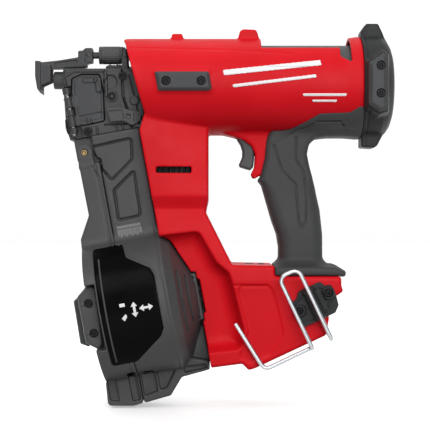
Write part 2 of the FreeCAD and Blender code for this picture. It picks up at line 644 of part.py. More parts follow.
# gearcase: holds the lifter, the ring gear and the motor, and joins the nose to the cylinder
case_block = slab("case_block", [(66, 11), (64.5, -18), (90, -18), (90, -30), (122.9, -30),
                                 (122.9, 11)], "-10", "29")
case_tube = upright("case_tube", "18.3", -60, -42.1)
case_neck = upright("case_neck", "14", -43, -29)
lifter_room = upright("lifter_room", "14.2", -12, 9)
blade_room = box("blade_room", (60, -6.2, -4), (130, 4, 4))
ring_room = upright("ring_room", "@ring_outer_radius", gear_low - 3, gear_high + 4.5)
bearing_room = upright("bearing_room", "9", -42, -33.5)
shaft_room = upright("shaft_room", "@output_shaft_radius + 1", -44, 0)
spring_stop = slab("spring_stop", [(80.5, 9), (80.5, 28.5), (84, 28.5), (90, 9)], "-9", "9", 0.5)
node("gearcase", cut("gearcase_piece",
                     fuse("case_solid", case_block, case_tube, case_neck, spring_stop),
                     lifter_room,
                     blade_room, ring_room, bearing_room, shaft_room))

# ---------------------------------------------------------------- nosepiece
NOSE_OUTLINE = [(8.7, 9), (65.6, 9), (64, -17.5), (74, -42.9), (22.2, -58), (17, -59),
                (11.3, -42.5), (8.7, -7.8)]
SLOT_OUTLINE = [(12, 5.4), (58.5, 5.4), (59.5, -12), (68.6, -46), (21.6, -58), (15.4, -34),
                (12, -8)]
DOOR_OUTLINE = [(17, 0), (25, 3.4), (40, 3.4), (43.5, -10), (44.5, -36), (26, -40),
                (21, -36), (16.5, -12)]
nose_block = slab("nose_block", NOSE_OUTLINE, "-@nose_half_width", "@nose_half_width", 1.5)
snout = cylinder("snout", "@snout_radius", "@snout_length", (0, 0, 0))
snout_bore = cylinder("snout_bore", "@bore_radius", "@snout_length + 2", (-1, 0, 0))
nail_slot = slab("nail_slot", SLOT_OUTLINE, "-@nail_slot_half", "@nail_slot_half")
blade_way = box("blade_way", (50, -5.6, -3.4), (80, 5.6, 3.4))
door_recess = slab("door_recess", [(x, z) for x, z in DOOR_OUTLINE], "-30", "-6", 2,
                   inset="-0.8")
hinge_recess = box("hinge_recess", (4.5, -30, -54), (17, -8, -9), TILT)
nose_floor = box("nose_floor", (-10, -30, -80), (90, 30, -54.2), TILT)
fixed_knuckles = []
for index, low_z in enumerate((-50, -34.3, -15.5)):
    fixed_knuckles.append(cylinder("fixed_knuckle_%d" % index, "3.6", "5.4",
                                   (10, -12.4, low_z), Z_AXIS, TILT))
    fixed_knuckles.append(box("fixed_web_%d" % index, (8, -12, low_z), (11.8, -6.5, low_z + 5.4),
                              TILT))
nose_base = cut("nose_base", nose_block, hinge_recess)
nose_whole = cut("nose_whole", fuse("nose_solid", nose_base, snout, *fixed_knuckles),
                 snout_bore, nail_slot, blade_way, door_recess, nose_floor,
                 cylinder("hinge_hole", "1.8", "60", (10, -12.4, -60), Z_AXIS, TILT),
                 cylinder("latch_hole", "2", "10", (65.5, -21, -32.5), Y_AXIS))
# The nose is bolted up from a muzzle block, two side plates, a top strip and a rear block.
muzzle_region = slab("muzzle_region", [(-10, 40), (12, 40), (12, -8), (15.4, -34), (21.6, -58),
                                       (21.6, -80), (-10, -80)], "-30", "30")
nose_behind = cut("nose_behind", nose_whole, muzzle_region)
nose_layers = [common("nose_layer_%d" % index, nose_behind,
                      box("nose_layer_room_%d" % index, (0, low_y, low_z), (90, high_y, high_z)))
               for index, (low_y, high_y, low_z, high_z) in enumerate((
                   (-30, -size("nail_slot_half"), -80, 40), (size("nail_slot_half"), 30, -80, 40),
                   (-size("nail_slot_half"), size("nail_slot_half"), 0, 40),
                   (-size("nail_slot_half"), size("nail_slot_half"), -80, 0)))]
node("nosepiece", group("nose_set", common("muzzle_block", nose_whole, muzzle_region),
                        *nose_layers))
node("nose_hinge_pin", cylinder("hinge_pin", "1.8", "38", (10, -12.4, -52), Z_AXIS, TILT))
door_plate = slab("door_plate", DOOR_OUTLINE, "-14", "-6.3", 2)
door_rib = slab("door_rib", [(37, 1), (41.5, 1), (42.8, -11.5), (38, -11.5)], "-17", "-13.5", 1)
knuckles = []
for index, low_z in enumerate((-43.6, -27.4)):
    knuckles.append(cylinder("knuckle_%d" % index, "3.6", "9", (10, -12.4, low_z), Z_AXIS, TILT))
    knuckles.append(box("knuckle_web_%d" % index, (10, -14, low_z), (16.5, -11, low_z + 9), TILT))
node("nose_door", cut("door_piece", fuse("door_solid", door_plate, door_rib, *knuckles),
                      cylinder("door_pin_hole", "1.85", "60", (10, -12.4, -60), Z_AXIS, TILT)))
LATCH_OUTLINE = [(46, -26), (58, -24.5), (66, -27), (76.6, -29), (76.2, -36.5), (69, -40.5),
                 (61, -36.5), (50, -37.5)]
latch = padded_body("latch_body", LATCH_OUTLINE, "4.5", 2,
                    Placement(Vector(0, -18.4, 0), Rotation()))
side_pocket(latch, "latch_pin_hole", [circle(65.5, -32.5, 2.05)])
node("nose_latch", latch)
node("latch_pin", cylinder("latch_pin_piece", "2", "10", (65.5, -21, -32.5), Y_AXIS))
NOSE_BOLTS = [(51.2, -14.8), (60.5, 2.5), (30.5, -45.3)]
node("nose_bolts", group("nose_bolt_set", *[
    cylinder("nose_bolt_%d" % index, "3.6", "2", (x, -16, z), Y_AXIS)
    for index, (x, z) in enumerate(NOSE_BOLTS)]))

# ---------------------------------------------------------------- workpiece contact arm
ARM_OUTLINE = [(-15.2, 15.9), (-10.4, 15.3), (4.3, 16.9), (21.2, 19.6), (21.2, 25.1),
               (25.6, 25.6), (26.9, 27.7), (33.8, 27.7), (33.8, 15.2), (29, 14.3), (28.6, 11.3),
               (4, 9.8), (-10.4, 9.8), (-15.2, 9.8)]
arm_bar = slab("arm_bar", ARM_OUTLINE, "-6", "6", 0.8)
FOOT_PLATE = [(-15.2, 15.9), (-10.4, 15.6), (-10.4, -6), (-10.2, -12.6), (-13.4, -8),
              (-15.2, 3)]
contact_plate = slab("contact_plate", FOOT_PLATE, "-12", "12", 0.4)
CHEEK = [(-12, 14), (-2, 13), (-2, -1.2), (-9, -4.3), (-12, -6)]
cheeks = [slab("cheek_left", CHEEK, "-11", "-8.4", 0.5),
          slab("cheek_right", CHEEK, "8.4", "11", 0.5),
          box("cheek_bridge", (-12, -11, 9.8), (-2, 11, 13))]
depth_z = size("depth_axis_z")
depth_rod = cylinder("depth_rod", "@depth_rod_radius", "30", (33, 0, depth_z))
node("contact_arm", cut("arm_piece", fuse("arm_solid", arm_bar, contact_plate, depth_rod,
                                          *cheeks),
                        cylinder("contact_hole", "6", "10", (-20, 0, 0))))
wheel_r = size("depth_wheel_radius")
wheel = revolved_body("depth_wheel_body", [
    (39, 3.25), (39, wheel_r - 1), (40, wheel_r), (59.4, wheel_r), (60.4, wheel_r - 1),
    (60.4, 3.25)], Placement(Vector(0, 0, depth_z), Rotation()))
node("depth_wheel", wheel)


def coil_spring(coil_radius, wire, pitch, length):
    """A closed helical spring along Z, swept as one solid."""
    helix = Part.makeHelix(pitch, length, coil_radius)
    start = Vector(coil_radius, 0, 0)
    profile = Part.Wire(Part.makeCircle(wire, start, Vector(0, 1, 0)))
    return Part.Wire(helix).makePipeShell([profile], True, True)


along_x = Placement(Vector(61, 0, depth_z), Rotation(Y_AXIS, 90))
node("contact_spring", solid("contact_coil", coil_spring(5.4, 0.6, 3.0, 18), along_x))

# ---------------------------------------------------------------- magazine, in its tilted frame
coil_z = size("coil_axis_z")
split = size("split_plane")


def can_tube(name, start, end):
    """Canister wall between two planes square to the coil axis."""
    outside = cylinder(name + "_out", "@canister_radius", str(end - start), (start, 0, coil_z),
                       frame=TILT)
    inside = cylinder(name + "_in", "@canister_radius - @canister_wall", str(end - start + 2),
                      (start - 1, 0, coil_z), frame=TILT)
    return cut(name, outside, inside)


throat = box("throat", (12, -size("nail_slot_half"), -175), (60, size("nail_slot_half"), -50),
             TILT)
window_hole = box("window_hole", (8.6, -70, -249), (57.4, -20, -151), TILT)
neck_clear = cylinder("neck_clear", "@canister_radius - @canister_wall", "200",
                      (-50, 0, coil_z), frame=TILT)
NECK_REAR = [(8, -54.4), (65.5, -54.4), (65.5, -150), (27.4, -150), (27.4, -75), (9.6, -75),
             (8, -73.2)]
neck_rear = slab("neck_rear", NECK_REAR, "-@neck_half_width", "@neck_half_width", 1, TILT)
ear_room = slab("ear_room", [(0, -50), (24, -50), (24, -77), (0, -77)], "-30", "-9.7",
                0, TILT)
ear_room_right = slab("ear_room_right", [(0, -50), (24, -50), (24, -77), (0, -77)], "9.7", "30",
                      0, TILT)
rear_cover = revolved_body("rear_cover", [(66, 58.7), (66, 62), (73, 55), (78, 43.5), (88, 24),
                                          (88, 0), (84, 0), (84, 22), (74.3, 41.8), (69.6, 53),
                                          (67.2, 58.7)], COIL_FRAME)
rear_boss = box("rear_boss", (84.5, -20, -226), (90.6, 20, -186), TILT)
rear_gusset = slab("rear_gusset", [(58, -264), (89, -264), (89, -231), (84, -227), (68, -255)],
                   "-8", "8", 1, TILT)
canister_inside = revolved_body("canister_inside", [(60, 0), (60, 58.7), (67.2, 58.7), (69.6, 53),
                                                    (74.3, 41.8), (84, 22), (84, 0)],
                                COIL_FRAME)
rear_foot = slab("rear_foot", [(27.4, -250), (27.4, -287.4), (51, -285), (63, -271.3),
                               (88, -269.3), (88, -261.5), (70, -255)], "-20", "20", 1, TILT)
post = cylinder("coil_post", "@post_radius", "66", (19, 0, coil_z), frame=TILT)
pivot_hole = cylinder("pivot_hole", "@pivot_pin_radius", "60",
                      (size("pivot_x"), -30, size("pivot_z")), Y_AXIS, TILT)
pawl_room = box("pawl_room", (30, 5, -109.6), (52, 12.65, -70), TILT)
pawl_cover_room = box("pawl_cover_room", (27.9, 12.6, -110.1), (54.1, 20, -67.9), TILT)
neck_piece = cut("neck_piece", neck_rear, neck_clear, ear_room, ear_room_right, throat)
boss_vents = [box("boss_vent_%d" % index, (88.6, -16, -221.5 + 10 * index),
                  (95, 16, -218 + 10 * index), TILT) for index in range(4)]
magazine_ring = cut("magazine_ring", can_tube("rear_wall", split + 0.4, 66.5), window_hole,
                    throat)
rear_foot_piece = cut("rear_foot_piece", fuse("rear_foot_set", rear_foot, rear_gusset),
                      canister_inside,
                      cylinder("foot_clear", "@canister_radius - 1", "86",
                               (-20, 0, coil_z), frame=TILT))
node("magazine_body", cut("magazine_piece",
                          fuse("magazine_solid", neck_piece, magazine_ring, rear_cover,
                               rear_boss, rear_foot_piece, post), pivot_hole, pawl_room,
                          pawl_cover_room, *boss_vents))

cap_plate = revolved_body("cap_plate", [(3, 58.7), (3, 62), (-1.2, 62), (-6.2, 30), (-6.2, 0),
                                        (-2.2, 0), (-2.2, 29.4), (2, 58.7)], COIL_FRAME)
front_wall = cut("front_wall_cut", can_tube("front_wall", 2.5, split), window_hole, throat)
NECK_FRONT = [(9, -77.4), (27, -77.4), (27, -152), (-1, -152), (-1, -140), (9.5, -121)]
neck_front = cut("neck_front_piece",
                 slab("neck_front", NECK_FRONT, "-@neck_half_width", "@neck_half_width", 0,
                      TILT), neck_clear, throat)
ears = []
for side in (-1, 1):
    low, high = sorted((side * 10.0, side * 16.0))
    ears.append(cylinder("ear_%d" % (side + 1), "7", "6", (size("pivot_x"), low,
                                                        size("pivot_z")), Y_AXIS, TILT))
    ears.append(box("ear_web_%d" % (side + 1), (9, low, -80), (22.5, high, -67.4), TILT))
PAD_SEAT = [(-4, -176), (-9, -186), (-9, -226), (-4, -236)]
pad_seat = slab("pad_seat", PAD_SEAT, "-30", "30", 2, TILT)
door_foot = cut("door_foot_piece",
                slab("door_foot", [(-3.5, -250), (-1.5, -258), (-3.5, -284), (18, -288),
                                   (27, -287.4), (27, -250)], "-20", "20", 1, TILT),
                cylinder("door_foot_clear", "@canister_radius - 1", "120", (-20, 0, coil_z),
                         frame=TILT))
pivot_clear = cylinder("pivot_clear", "@pivot_pin_radius + 0.05", "60",
                       (size("pivot_x"), -30, size("pivot_z")), Y_AXIS, TILT)
node("canister_door", cut("canister_door_piece",
                          fuse("canister_door_solid", cap_plate, front_wall, neck_front,
                               pad_seat, door_foot, *ears), pivot_clear))
pad_plate = slab("door_pad_plate", [(-9.05, -187), (-15.8, -189), (-16.7, -228), (-9.05, -227)],
                 "-26", "26", 1.5, TILT)
node("door_pad", pad_plate)
node("canister_pivots", group("canister_pivot_pair", *[
    cylinder("pivot_pin_%d" % (side + 1), "@pivot_pin_radius", "9.5",
             (size("pivot_x"), low, size("pivot_z")), Y_AXIS, TILT)
    for side, low in ((-1, -16.5), (1, 7.0))]))
window_tube = can_tube("window_tube", 9.0, 57.0)
window_region = box("window_region", (9, -70, -248.4), (57, -20, -153), TILT)
node("canister_window", common("window_piece", window_tube, window_region))
tray_disc = cylinder("tray_disc", "@tray_radius", "3", (62, 0, coil_z), frame=TILT)
tray_hub = cylinder("tray_hub", "11", "22", (43, 0, coil_z), frame=TILT)
tray_bore = cylinder("tray_bore", "@post_radius + 0.06", "60", (20, 0, coil_z), frame=TILT)
node("coil_tray", cut("tray_piece", fuse("tray_solid", tray_disc, tray_hub), tray_bore))
node("feed_pawl", cut("pawl_piece", box("pawl_block", (31, 6.6, -100), (51, 12.2, -88), TILT),
                      box("pawl_notch", (36, 5, -97), (46, 8.6, -91), TILT)))
node("feed_spring", solid("feed_coil", coil_spring(2.4, 0.4, 1.6, 7.0),
                          TILT.multiply(Placement(Vector(41, 9.4, -107.8), Rotation()))))
node("pawl_cover", box("pawl_cover_plate", (28, 12.65, -110), (54, 15.9, -68), TILT))

# ---------------------------------------------------------------- trigger and switch
TRIGGER = [(158.6, -47.5), (158.4, -51.5), (162.4, -58.3), (163.2, -65), (160.2, -72.3),
           (160.5, -75), (170.5, -78.6), (173, -75.6), (174, -65), (173.5, -52), (167.5, -47.5),
           (165, -43.4), (161, -43.4)]
pivot = (size("trigger_pivot_x"), size("trigger_pivot_z"))
trigger = padded_body("trigger_body", TRIGGER, "2 * @trigger_half_width", 2)
side_pocket(trigger, "trigger_pin_hole", [circle(pivot[0], pivot[1],
                                                 size("trigger_pin_radius") + 0.05)])
node("trigger", trigger)
node("trigger_pin", cylinder("trigger_pin_piece", "@trigger_pin_radius", "22",
                             (pivot[0], -11, pivot[1]), Y_AXIS))
spring_turn = Placement(Vector(180, 0, -66), Rotation(Y_AXIS, 90))
node("trigger_spring", solid("trigger_coil", coil_spring(2.6, 0.35, 1.4, 5.6), spring_turn))
node("trigger_switch", box("switch_box", (186.5, -8, -82), (204, 8, -60)))

# ---------------------------------------------------------------- electronics and foot
node("circuit_board", box("board", (96, -24, -121), (127, 24, -118.6)))
node("battery_rails", fuse("rails_piece",
                           box("rail_plate", (-33, -28, 9), (30, 28, 12.9), FOOT),
                           box("rail_left", (-33, -28, 2), (30, -24.5, 9.1), FOOT),
                           box("rail_right", (-33, 24.5, 2), (30, 28, 9.1), FOOT),
                           box("lip_left", (-33, -24.6, 2), (30, -20, 4), FOOT),
                           box("lip_right", (-33, 20, 2), (30, 24.6, 4), FOOT)))
node("battery_terminals", group("terminal_set", *[
    box("terminal_%d" % index, (-31, y - 0.5, 3), (-12, y + 0.5, 8.95), FOOT)
    for index, y in enumerate((-12, -4, 4, 12))]))
for name, low_x, high_x in (("mode_button", 165.5, 172.6), ("gauge_button", 176.8, 182.2)):
    node(name, box(name + "_cap", (low_x, -4.1, -163), (high_x, 4.1, -158.6)))

# ---------------------------------------------------------------- wire hook and its bracket
HOOK_TILT = math.radians(25.5)
HOOK_DOWN = Vector(math.sin(HOOK_TILT), 0, -math.cos(HOOK_TILT))
HOOK_BACK = Vector(math.cos(HOOK_TILT), 0, math.sin(HOOK_TILT))
HOOK_CENTRE = Vector(222.5, -42.6, -191.0)


def hook_point(back, down, out):
    """A point from the hook's axis: along the foot, down the side and out to the left."""
    return HOOK_CENTRE + HOOK_BACK * back + HOOK_DOWN * down - Y_AXIS * out


HOOK_ROUTE = [hook_point(0, -14, 0), hook_point(0, 32, 0), hook_point(0, 32, 8.6),
              hook_point(0, -33, 8.6), hook_point(-17.6, -33, 8.6), hook_point(-17.6, 32, 8.6),
              hook_point(-17.6, 32, 0.4), hook_point(-60, 32, 0.4), hook_point(-63.5, -9, 0.4)]


def wire_path(points, radius):
    """Straight runs joined by tangent arcs through a list of points."""
    edges = []
    current = points[0]
    for before, corner, after in zip(points, points[1:], points[2:]):
        start, middle, end = corner_arc(before, corner, after, radius)
        if (start - current).Length > 1e-6:
            edges.append(Part.LineSegment(current, start).toShape())
        edges.append(Part.Arc(start, middle, end).toShape())
        current = end
    edges.append(Part.LineSegment(current, points[-1]).toShape())
    return Part.Wire(edges)


hook_wire = wire_path(HOOK_ROUTE, 7.0)
first_run = HOOK_ROUTE[1] - HOOK_ROUTE[0]
hook_section = Part.Wire(Part.makeCircle(size("wire_radius"), HOOK_ROUTE[0], first_run))
hook_shape = hook_wire.makePipeShell([hook_section], True, False)
node("wire_hook", solid("hook_piece", hook_shape))
HOOK_FRAME = Placement(HOOK_CENTRE, Rotation(Y_AXIS, -math.degrees(HOOK_TILT)))
bracket_base = box("bracket_base", (-19, 2.0, -15), (18.5, 4.5, 15), HOOK_FRAME)
bracket_boss = cylinder("bracket_boss", "4.4", "28", (0, 0, -14), Z_AXIS, HOOK_FRAME)
bracket_left = box("bracket_left", (-19, -1.2, -9), (-8, 4.5, 9), HOOK_FRAME)
bracket_right = box("bracket_right", (11, -1.2, -3), (20, 4.5, 9), HOOK_FRAME)
bracket_bore = cylinder("bracket_bore", "@wire_radius + 0.05", "60", (0, 0, -30), Z_AXIS,
                        HOOK_FRAME)
bracket_holes = [cylinder("bracket_hole_%d" % index, radius, "6", (x, -1.3, z), Y_AXIS,
                          HOOK_FRAME)
                 for index, (x, z, radius) in enumerate(((14.6, 3, "3.55"), (-13.5, 0, "3.05")))]
node("hook_bracket", cut("bracket_piece", fuse("bracket_solid", bracket_base, bracket_boss,
                                               bracket_left, bracket_right), bracket_bore,
                         *bracket_holes))
node("bracket_screws", group("bracket_screw_pair", *[
    cylinder("bracket_screw_%d" % index, radius, "3.4", (x, 1.1, z), Y_AXIS, HOOK_FRAME)
    for index, (x, z, radius) in enumerate(((14.6, 3, "3.5"), (-13.5, 0, "3.0")))]))

# ---------------------------------------------------------------- check and write
doc.recompute()
for feature in doc.Objects:
    for word in feature.State:
        if word in ("Invalid", "Error"):
            raise RuntimeError("%s failed: %s" % (feature.Label, feature.State))
os.makedirs("parts", exist_ok=True)
for piece in nodes:
    shape = piece.Shape
    if shape.isNull() or not shape.isValid() or shape.Volume <= 0:
        raise RuntimeError("%s has no valid shape" % piece.Label)
    shape.exportStep(os.path.join("parts", piece.Label + ".step"))
    print("%-20s %d solid(s) %10.1f mm3" % (piece.Label, len(shape.Solids), shape.Volume))
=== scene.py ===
import bpy, json, math
import numpy as np
from functools import reduce
from mathutils import Matrix, Vector

# A battery coil roofing nailer.  The shapes are solids described by signed distance fields, in
# millimetres in the row frame, and skinned to meshes in metres.  X runs along the drive axis with
# the nose at -X, Z is up, and the tool's left side faces -Y.
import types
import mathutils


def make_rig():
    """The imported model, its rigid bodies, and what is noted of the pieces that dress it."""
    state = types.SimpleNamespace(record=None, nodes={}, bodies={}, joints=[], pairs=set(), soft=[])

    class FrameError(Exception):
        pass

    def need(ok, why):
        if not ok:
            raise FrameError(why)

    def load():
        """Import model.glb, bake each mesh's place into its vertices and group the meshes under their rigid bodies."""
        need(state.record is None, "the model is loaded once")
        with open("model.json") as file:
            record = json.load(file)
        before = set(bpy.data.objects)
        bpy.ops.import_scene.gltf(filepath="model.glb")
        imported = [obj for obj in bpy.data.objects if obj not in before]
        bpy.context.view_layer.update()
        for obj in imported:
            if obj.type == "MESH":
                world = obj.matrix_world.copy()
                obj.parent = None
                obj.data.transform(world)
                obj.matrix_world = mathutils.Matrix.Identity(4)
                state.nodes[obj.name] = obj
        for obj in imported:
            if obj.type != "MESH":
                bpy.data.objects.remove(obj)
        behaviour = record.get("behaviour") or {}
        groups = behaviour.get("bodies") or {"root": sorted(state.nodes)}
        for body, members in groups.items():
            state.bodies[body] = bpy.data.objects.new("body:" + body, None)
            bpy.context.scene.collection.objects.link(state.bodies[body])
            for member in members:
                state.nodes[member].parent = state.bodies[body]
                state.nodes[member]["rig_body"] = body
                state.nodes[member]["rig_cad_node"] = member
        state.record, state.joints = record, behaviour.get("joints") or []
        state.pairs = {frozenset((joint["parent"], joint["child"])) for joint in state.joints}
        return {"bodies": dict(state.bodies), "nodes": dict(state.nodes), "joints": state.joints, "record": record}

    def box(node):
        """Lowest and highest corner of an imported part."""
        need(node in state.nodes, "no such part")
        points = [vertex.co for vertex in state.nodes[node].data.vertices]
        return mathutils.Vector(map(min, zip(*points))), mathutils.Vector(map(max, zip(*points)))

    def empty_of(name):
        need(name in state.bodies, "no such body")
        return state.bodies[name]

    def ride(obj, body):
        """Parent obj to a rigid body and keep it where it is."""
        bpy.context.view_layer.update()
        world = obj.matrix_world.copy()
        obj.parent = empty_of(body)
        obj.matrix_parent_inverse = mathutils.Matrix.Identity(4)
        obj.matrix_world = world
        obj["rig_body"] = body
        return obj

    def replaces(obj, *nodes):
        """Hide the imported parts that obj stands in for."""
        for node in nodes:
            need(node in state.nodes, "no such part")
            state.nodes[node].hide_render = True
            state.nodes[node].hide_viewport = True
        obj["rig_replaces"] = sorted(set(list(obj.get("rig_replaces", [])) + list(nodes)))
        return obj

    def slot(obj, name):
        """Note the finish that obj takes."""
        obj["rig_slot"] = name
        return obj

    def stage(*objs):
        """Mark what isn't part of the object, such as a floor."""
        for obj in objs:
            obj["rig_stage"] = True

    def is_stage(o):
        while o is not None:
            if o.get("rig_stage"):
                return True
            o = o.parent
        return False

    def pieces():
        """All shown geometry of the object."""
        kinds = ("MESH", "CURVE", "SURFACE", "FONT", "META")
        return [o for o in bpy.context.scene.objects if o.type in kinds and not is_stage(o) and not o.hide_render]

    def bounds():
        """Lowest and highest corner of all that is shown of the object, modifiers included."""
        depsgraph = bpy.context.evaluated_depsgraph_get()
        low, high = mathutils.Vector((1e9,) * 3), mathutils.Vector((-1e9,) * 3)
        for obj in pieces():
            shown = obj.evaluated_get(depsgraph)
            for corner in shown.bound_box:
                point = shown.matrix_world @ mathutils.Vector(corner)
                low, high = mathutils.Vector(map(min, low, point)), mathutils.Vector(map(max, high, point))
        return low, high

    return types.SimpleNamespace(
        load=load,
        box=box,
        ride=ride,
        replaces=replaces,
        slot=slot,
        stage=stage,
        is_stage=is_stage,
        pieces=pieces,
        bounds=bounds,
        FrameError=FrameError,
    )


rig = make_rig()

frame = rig.load()
cad_low, cad_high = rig.bounds()
MM = 0.001
MAGAZINE_TILT = math.radians(10.5)
FOOT_TILT = math.radians(24.4)
WORLD = Matrix.Identity(4)
TILT = Matrix.Rotation(-MAGAZINE_TILT, 4, "Y")
SLOTS = {part["node"]: part["material_slot"] for part in frame["record"]["subparts"]}


def box_mm(node):
    """Lowest and highest corner of a CAD node, in millimetres."""
    low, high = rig.box(node)
    return low / MM, high / MM


# ---- fields
class Space:
    """Sample points over a box: broadcasting arrays x, y, z and out, the size of y."""

    def __init__(self, low, high, step):
        self.low = np.array(low, float)
        self.step = step
        counts = np.ceil((np.array(high, float) - self.low) / step).astype(int) + 1
        axes = [self.low[a] + step * np.arange(counts[a]) for a in range(3)]
        self.x, self.y, self.z = np.meshgrid(*axes, indexing="ij", sparse=True)
        self.out = np.abs(self.y)
        self.shape = tuple(counts)

    def __iter__(self):
        return iter((self.x, self.y, self.z, self.out))


def both(*fields):
    """Inside every one of the fields."""
    return reduce(np.maximum, fields)


def either(*fields):
    """Inside at least one of the fields."""
    return reduce(np.minimum, fields)


def rounded(points, radius, pieces=4):
    """The corners of a closed outline, each turned into an arc."""
    result = []
    count = len(points)
    for index, corner in enumerate(points):
        here = Vector(corner)
        before = Vector(points[index - 1]) - here
        after = Vector(points[(index + 1) % count]) - here
        half = before.angle(after) / 2
        if half > math.radians(88):
            result.append(here)
            continue
        reach = min(radius / math.tan(half), 0.45 * before.length, 0.45 * after.length)
        start = here + before.normalized() * reach
        end = here + after.normalized() * reach
        for part in range(pieces + 1):
            t = part / pieces
            result.append((1 - t) ** 2 * start + 2 * t * (1 - t) * here + t * t * end)
    return result


def outline(u, v, points, radius=0.0):
    """Signed distance to a closed outline in the plane of u and v."""
    corners = rounded(points, radius) if radius else [Vector(p) for p in points]
    nearest = np.full(np.broadcast(u, v).shape, 1e9)
    inside = np.zeros(nearest.shape, bool)
    for a, b in zip(corners, corners[1:] + corners[:1]):
        edge = b - a
        if edge.length < 1e-6:
            continue
        pu, pv = u - a.x, v - a.y
        t = np.clip((pu * edge.x + pv * edge.y) / edge.length_squared, 0, 1)
        nearest = np.minimum(nearest, (pu - t * edge.x) ** 2 + (pv - t * edge.y) ** 2)
        if abs(edge.y) > 1e-9:
            inside ^= ((a.y > v) != (b.y > v)) & (pu < edge.x * pv / edge.y)
    return np.where(inside, -1, 1) * np.sqrt(nearest)


def line(u, v, points):
    """Distance to an open chain of straight runs in the plane of u and v."""
    nearest = np.full(np.broadcast(u, v).shape, 1e9)
    for a, b in zip(points, points[1:]):
        eu, ev = b[0] - a[0], b[1] - a[1]
        pu, pv = u - a[0], v - a[1]
        t = np.clip((pu * eu + pv * ev) / (eu * eu + ev * ev), 0, 1)
        nearest = np.minimum(nearest, (pu - t * eu) ** 2 + (pv - t * ev) ** 2)
    return np.sqrt(nearest)


def circle(u, v, centre, radius):
    return np.hypot(u - centre[0], v - centre[1]) - radius


def join(a, b, soft=0.0):
    """Union of two fields, with a fillet of about the given size."""
    if not soft:
        return either(a, b)
    h = np.clip(0.5 + 0.5 * (b - a) / soft, 0, 1)
    return b + (a - b) * h - soft * h * (1 - h)


def meet(a, b, soft=0.0):
    """Intersection of two fields, with a rounded edge of about the given size."""
    return -join(-a, -b, soft)


def carve(body, tool, soft=0.0):
    return meet(body, -tool, soft)


def band(value, low, high):
    """Negative between two planes."""
    return both(low - value, value - high)


def prism(flat, across, rim):
    """A flat outline field and a field across it, joined with a rounded rim."""
    a, b = flat + rim, across + rim
    outer = np.hypot(np.maximum(a, 0), np.maximum(b, 0))
    return np.minimum(np.maximum(a, b), 0) + outer - rim


def slab(space, shape, radius, half, rim):
    """A side outline with rounded corners, as thick as half on each side of the middle plane."""
    return prism(outline(space.x, space.z, shape, radius), space.out - half, rim)


def engrave(body, mark, depth, soft=0.3):
    """Cuts the marked region into a body's surface to a depth."""
    return carve(body, both(mark, -depth - body), soft)


def raise_up(body, mark, height, soft=0.3):
    """Lifts the marked region out of a body's surface by a height."""
    return join(body, meet(mark, body - height, soft), soft)


# ---- skinning
CORNERS = [(i, j, k) for i in (0, 1) for j in (0, 1) for k in (0, 1)]
EDGES = [(a, b) for a in range(8) for b in range(a + 1, 8)
         if sum(abs(p - q) for p, q in zip(CORNERS[a], CORNERS[b])) == 1]


def skin(space, field):
    """Surface net of a field's zero level: vertices in millimetres and quads."""
    values = np.array(np.broadcast_to(field, space.shape), dtype=np.float32)
    for axis in range(3):
        ends = np.moveaxis(values, axis, 0)
        ends[0] = np.maximum(ends[0], 0.01)
        ends[-1] = np.maximum(ends[-1], 0.01)
    inside = values < 0
    count = np.zeros([n - 1 for n in space.shape], np.uint8)
    for i, j, k in CORNERS:
        count += inside[i:i + count.shape[0], j:j + count.shape[1], k:k + count.shape[2]]
    active = (count > 0) & (count < 8)
    cells = np.argwhere(active)
    number = np.full(count.shape, -1, np.int32)
    number[active] = np.arange(len(cells))
    at = [values[tuple((cells + c).T)] for c in CORNERS]
    total = np.zeros((len(cells), 3))
    hits = np.zeros(len(cells))
    for a, b in EDGES:
        crossing = (at[a] < 0) != (at[b] < 0)
        t = np.where(crossing, at[a] / np.where(crossing, at[a] - at[b], 1), 0)
        ca, cb = np.array(CORNERS[a]), np.array(CORNERS[b])
        total += np.where(crossing[:, None], ca + t[:, None] * (cb - ca), 0)
        hits += crossing
    points = space.low + space.step * (cells + total / hits[:, None])
    quads = []
    for axis in range(3):
        first = np.moveaxis(inside, axis, 0)
        change = np.argwhere(first[:-1] != first[1:])
        starts_inside = first[:-1][tuple(change.T)]
        index = np.zeros_like(change)
        order = [axis] + [a for a in range(3) if a != axis]
        for column, a in enumerate(order):
            index[:, a] = change[:, column]
        u, v = order[1:]
        step_u, step_v = np.eye(3, dtype=int)[u], np.eye(3, dtype=int)[v]
        corners = [index - step_u - step_v, index - step_v, index, index - step_u]
        loop = np.stack([number[tuple(c.T)] for c in corners], axis=1)
        flip = starts_inside if axis != 1 else ~starts_inside
        loop[~flip] = loop[~flip][:, ::-1]
        quads.append(loop)
    return points, np.concatenate(quads)


def attach(piece, body, node_names=(), slot=None):
    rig.ride(piece, body)
    if node_names:
        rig.replaces(piece, *node_names)
    if slot:
        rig.slot(piece, slot)


def solid(name, space, field, material, body="housing", node_names=None, slot=None,
          frame_at=WORLD, keep=1.0):
    """A piece skinned from a field; by default it replaces the CAD node of the same name."""
    if node_names is None:
        node_names, slot = [name] if name in SLOTS else [], SLOTS.get(name)
    points, quads = skin(space, field)
    mesh = bpy.data.meshes.new(name)
    mesh.from_pydata(points.tolist(), [], quads.tolist())
    mesh.transform(Matrix.Scale(MM, 4) @ frame_at)
    mesh.validate()
    mesh.polygons.foreach_set("use_smooth", [True] * len(mesh.polygons))
    mesh.materials.append(material)
    piece = bpy.data.objects.new(name, mesh)
    bpy.context.scene.collection.objects.link(piece)
    if keep < 1:
        piece.modifiers.new("thinner", "DECIMATE").ratio = keep
    attach(piece, body, node_names, slot)


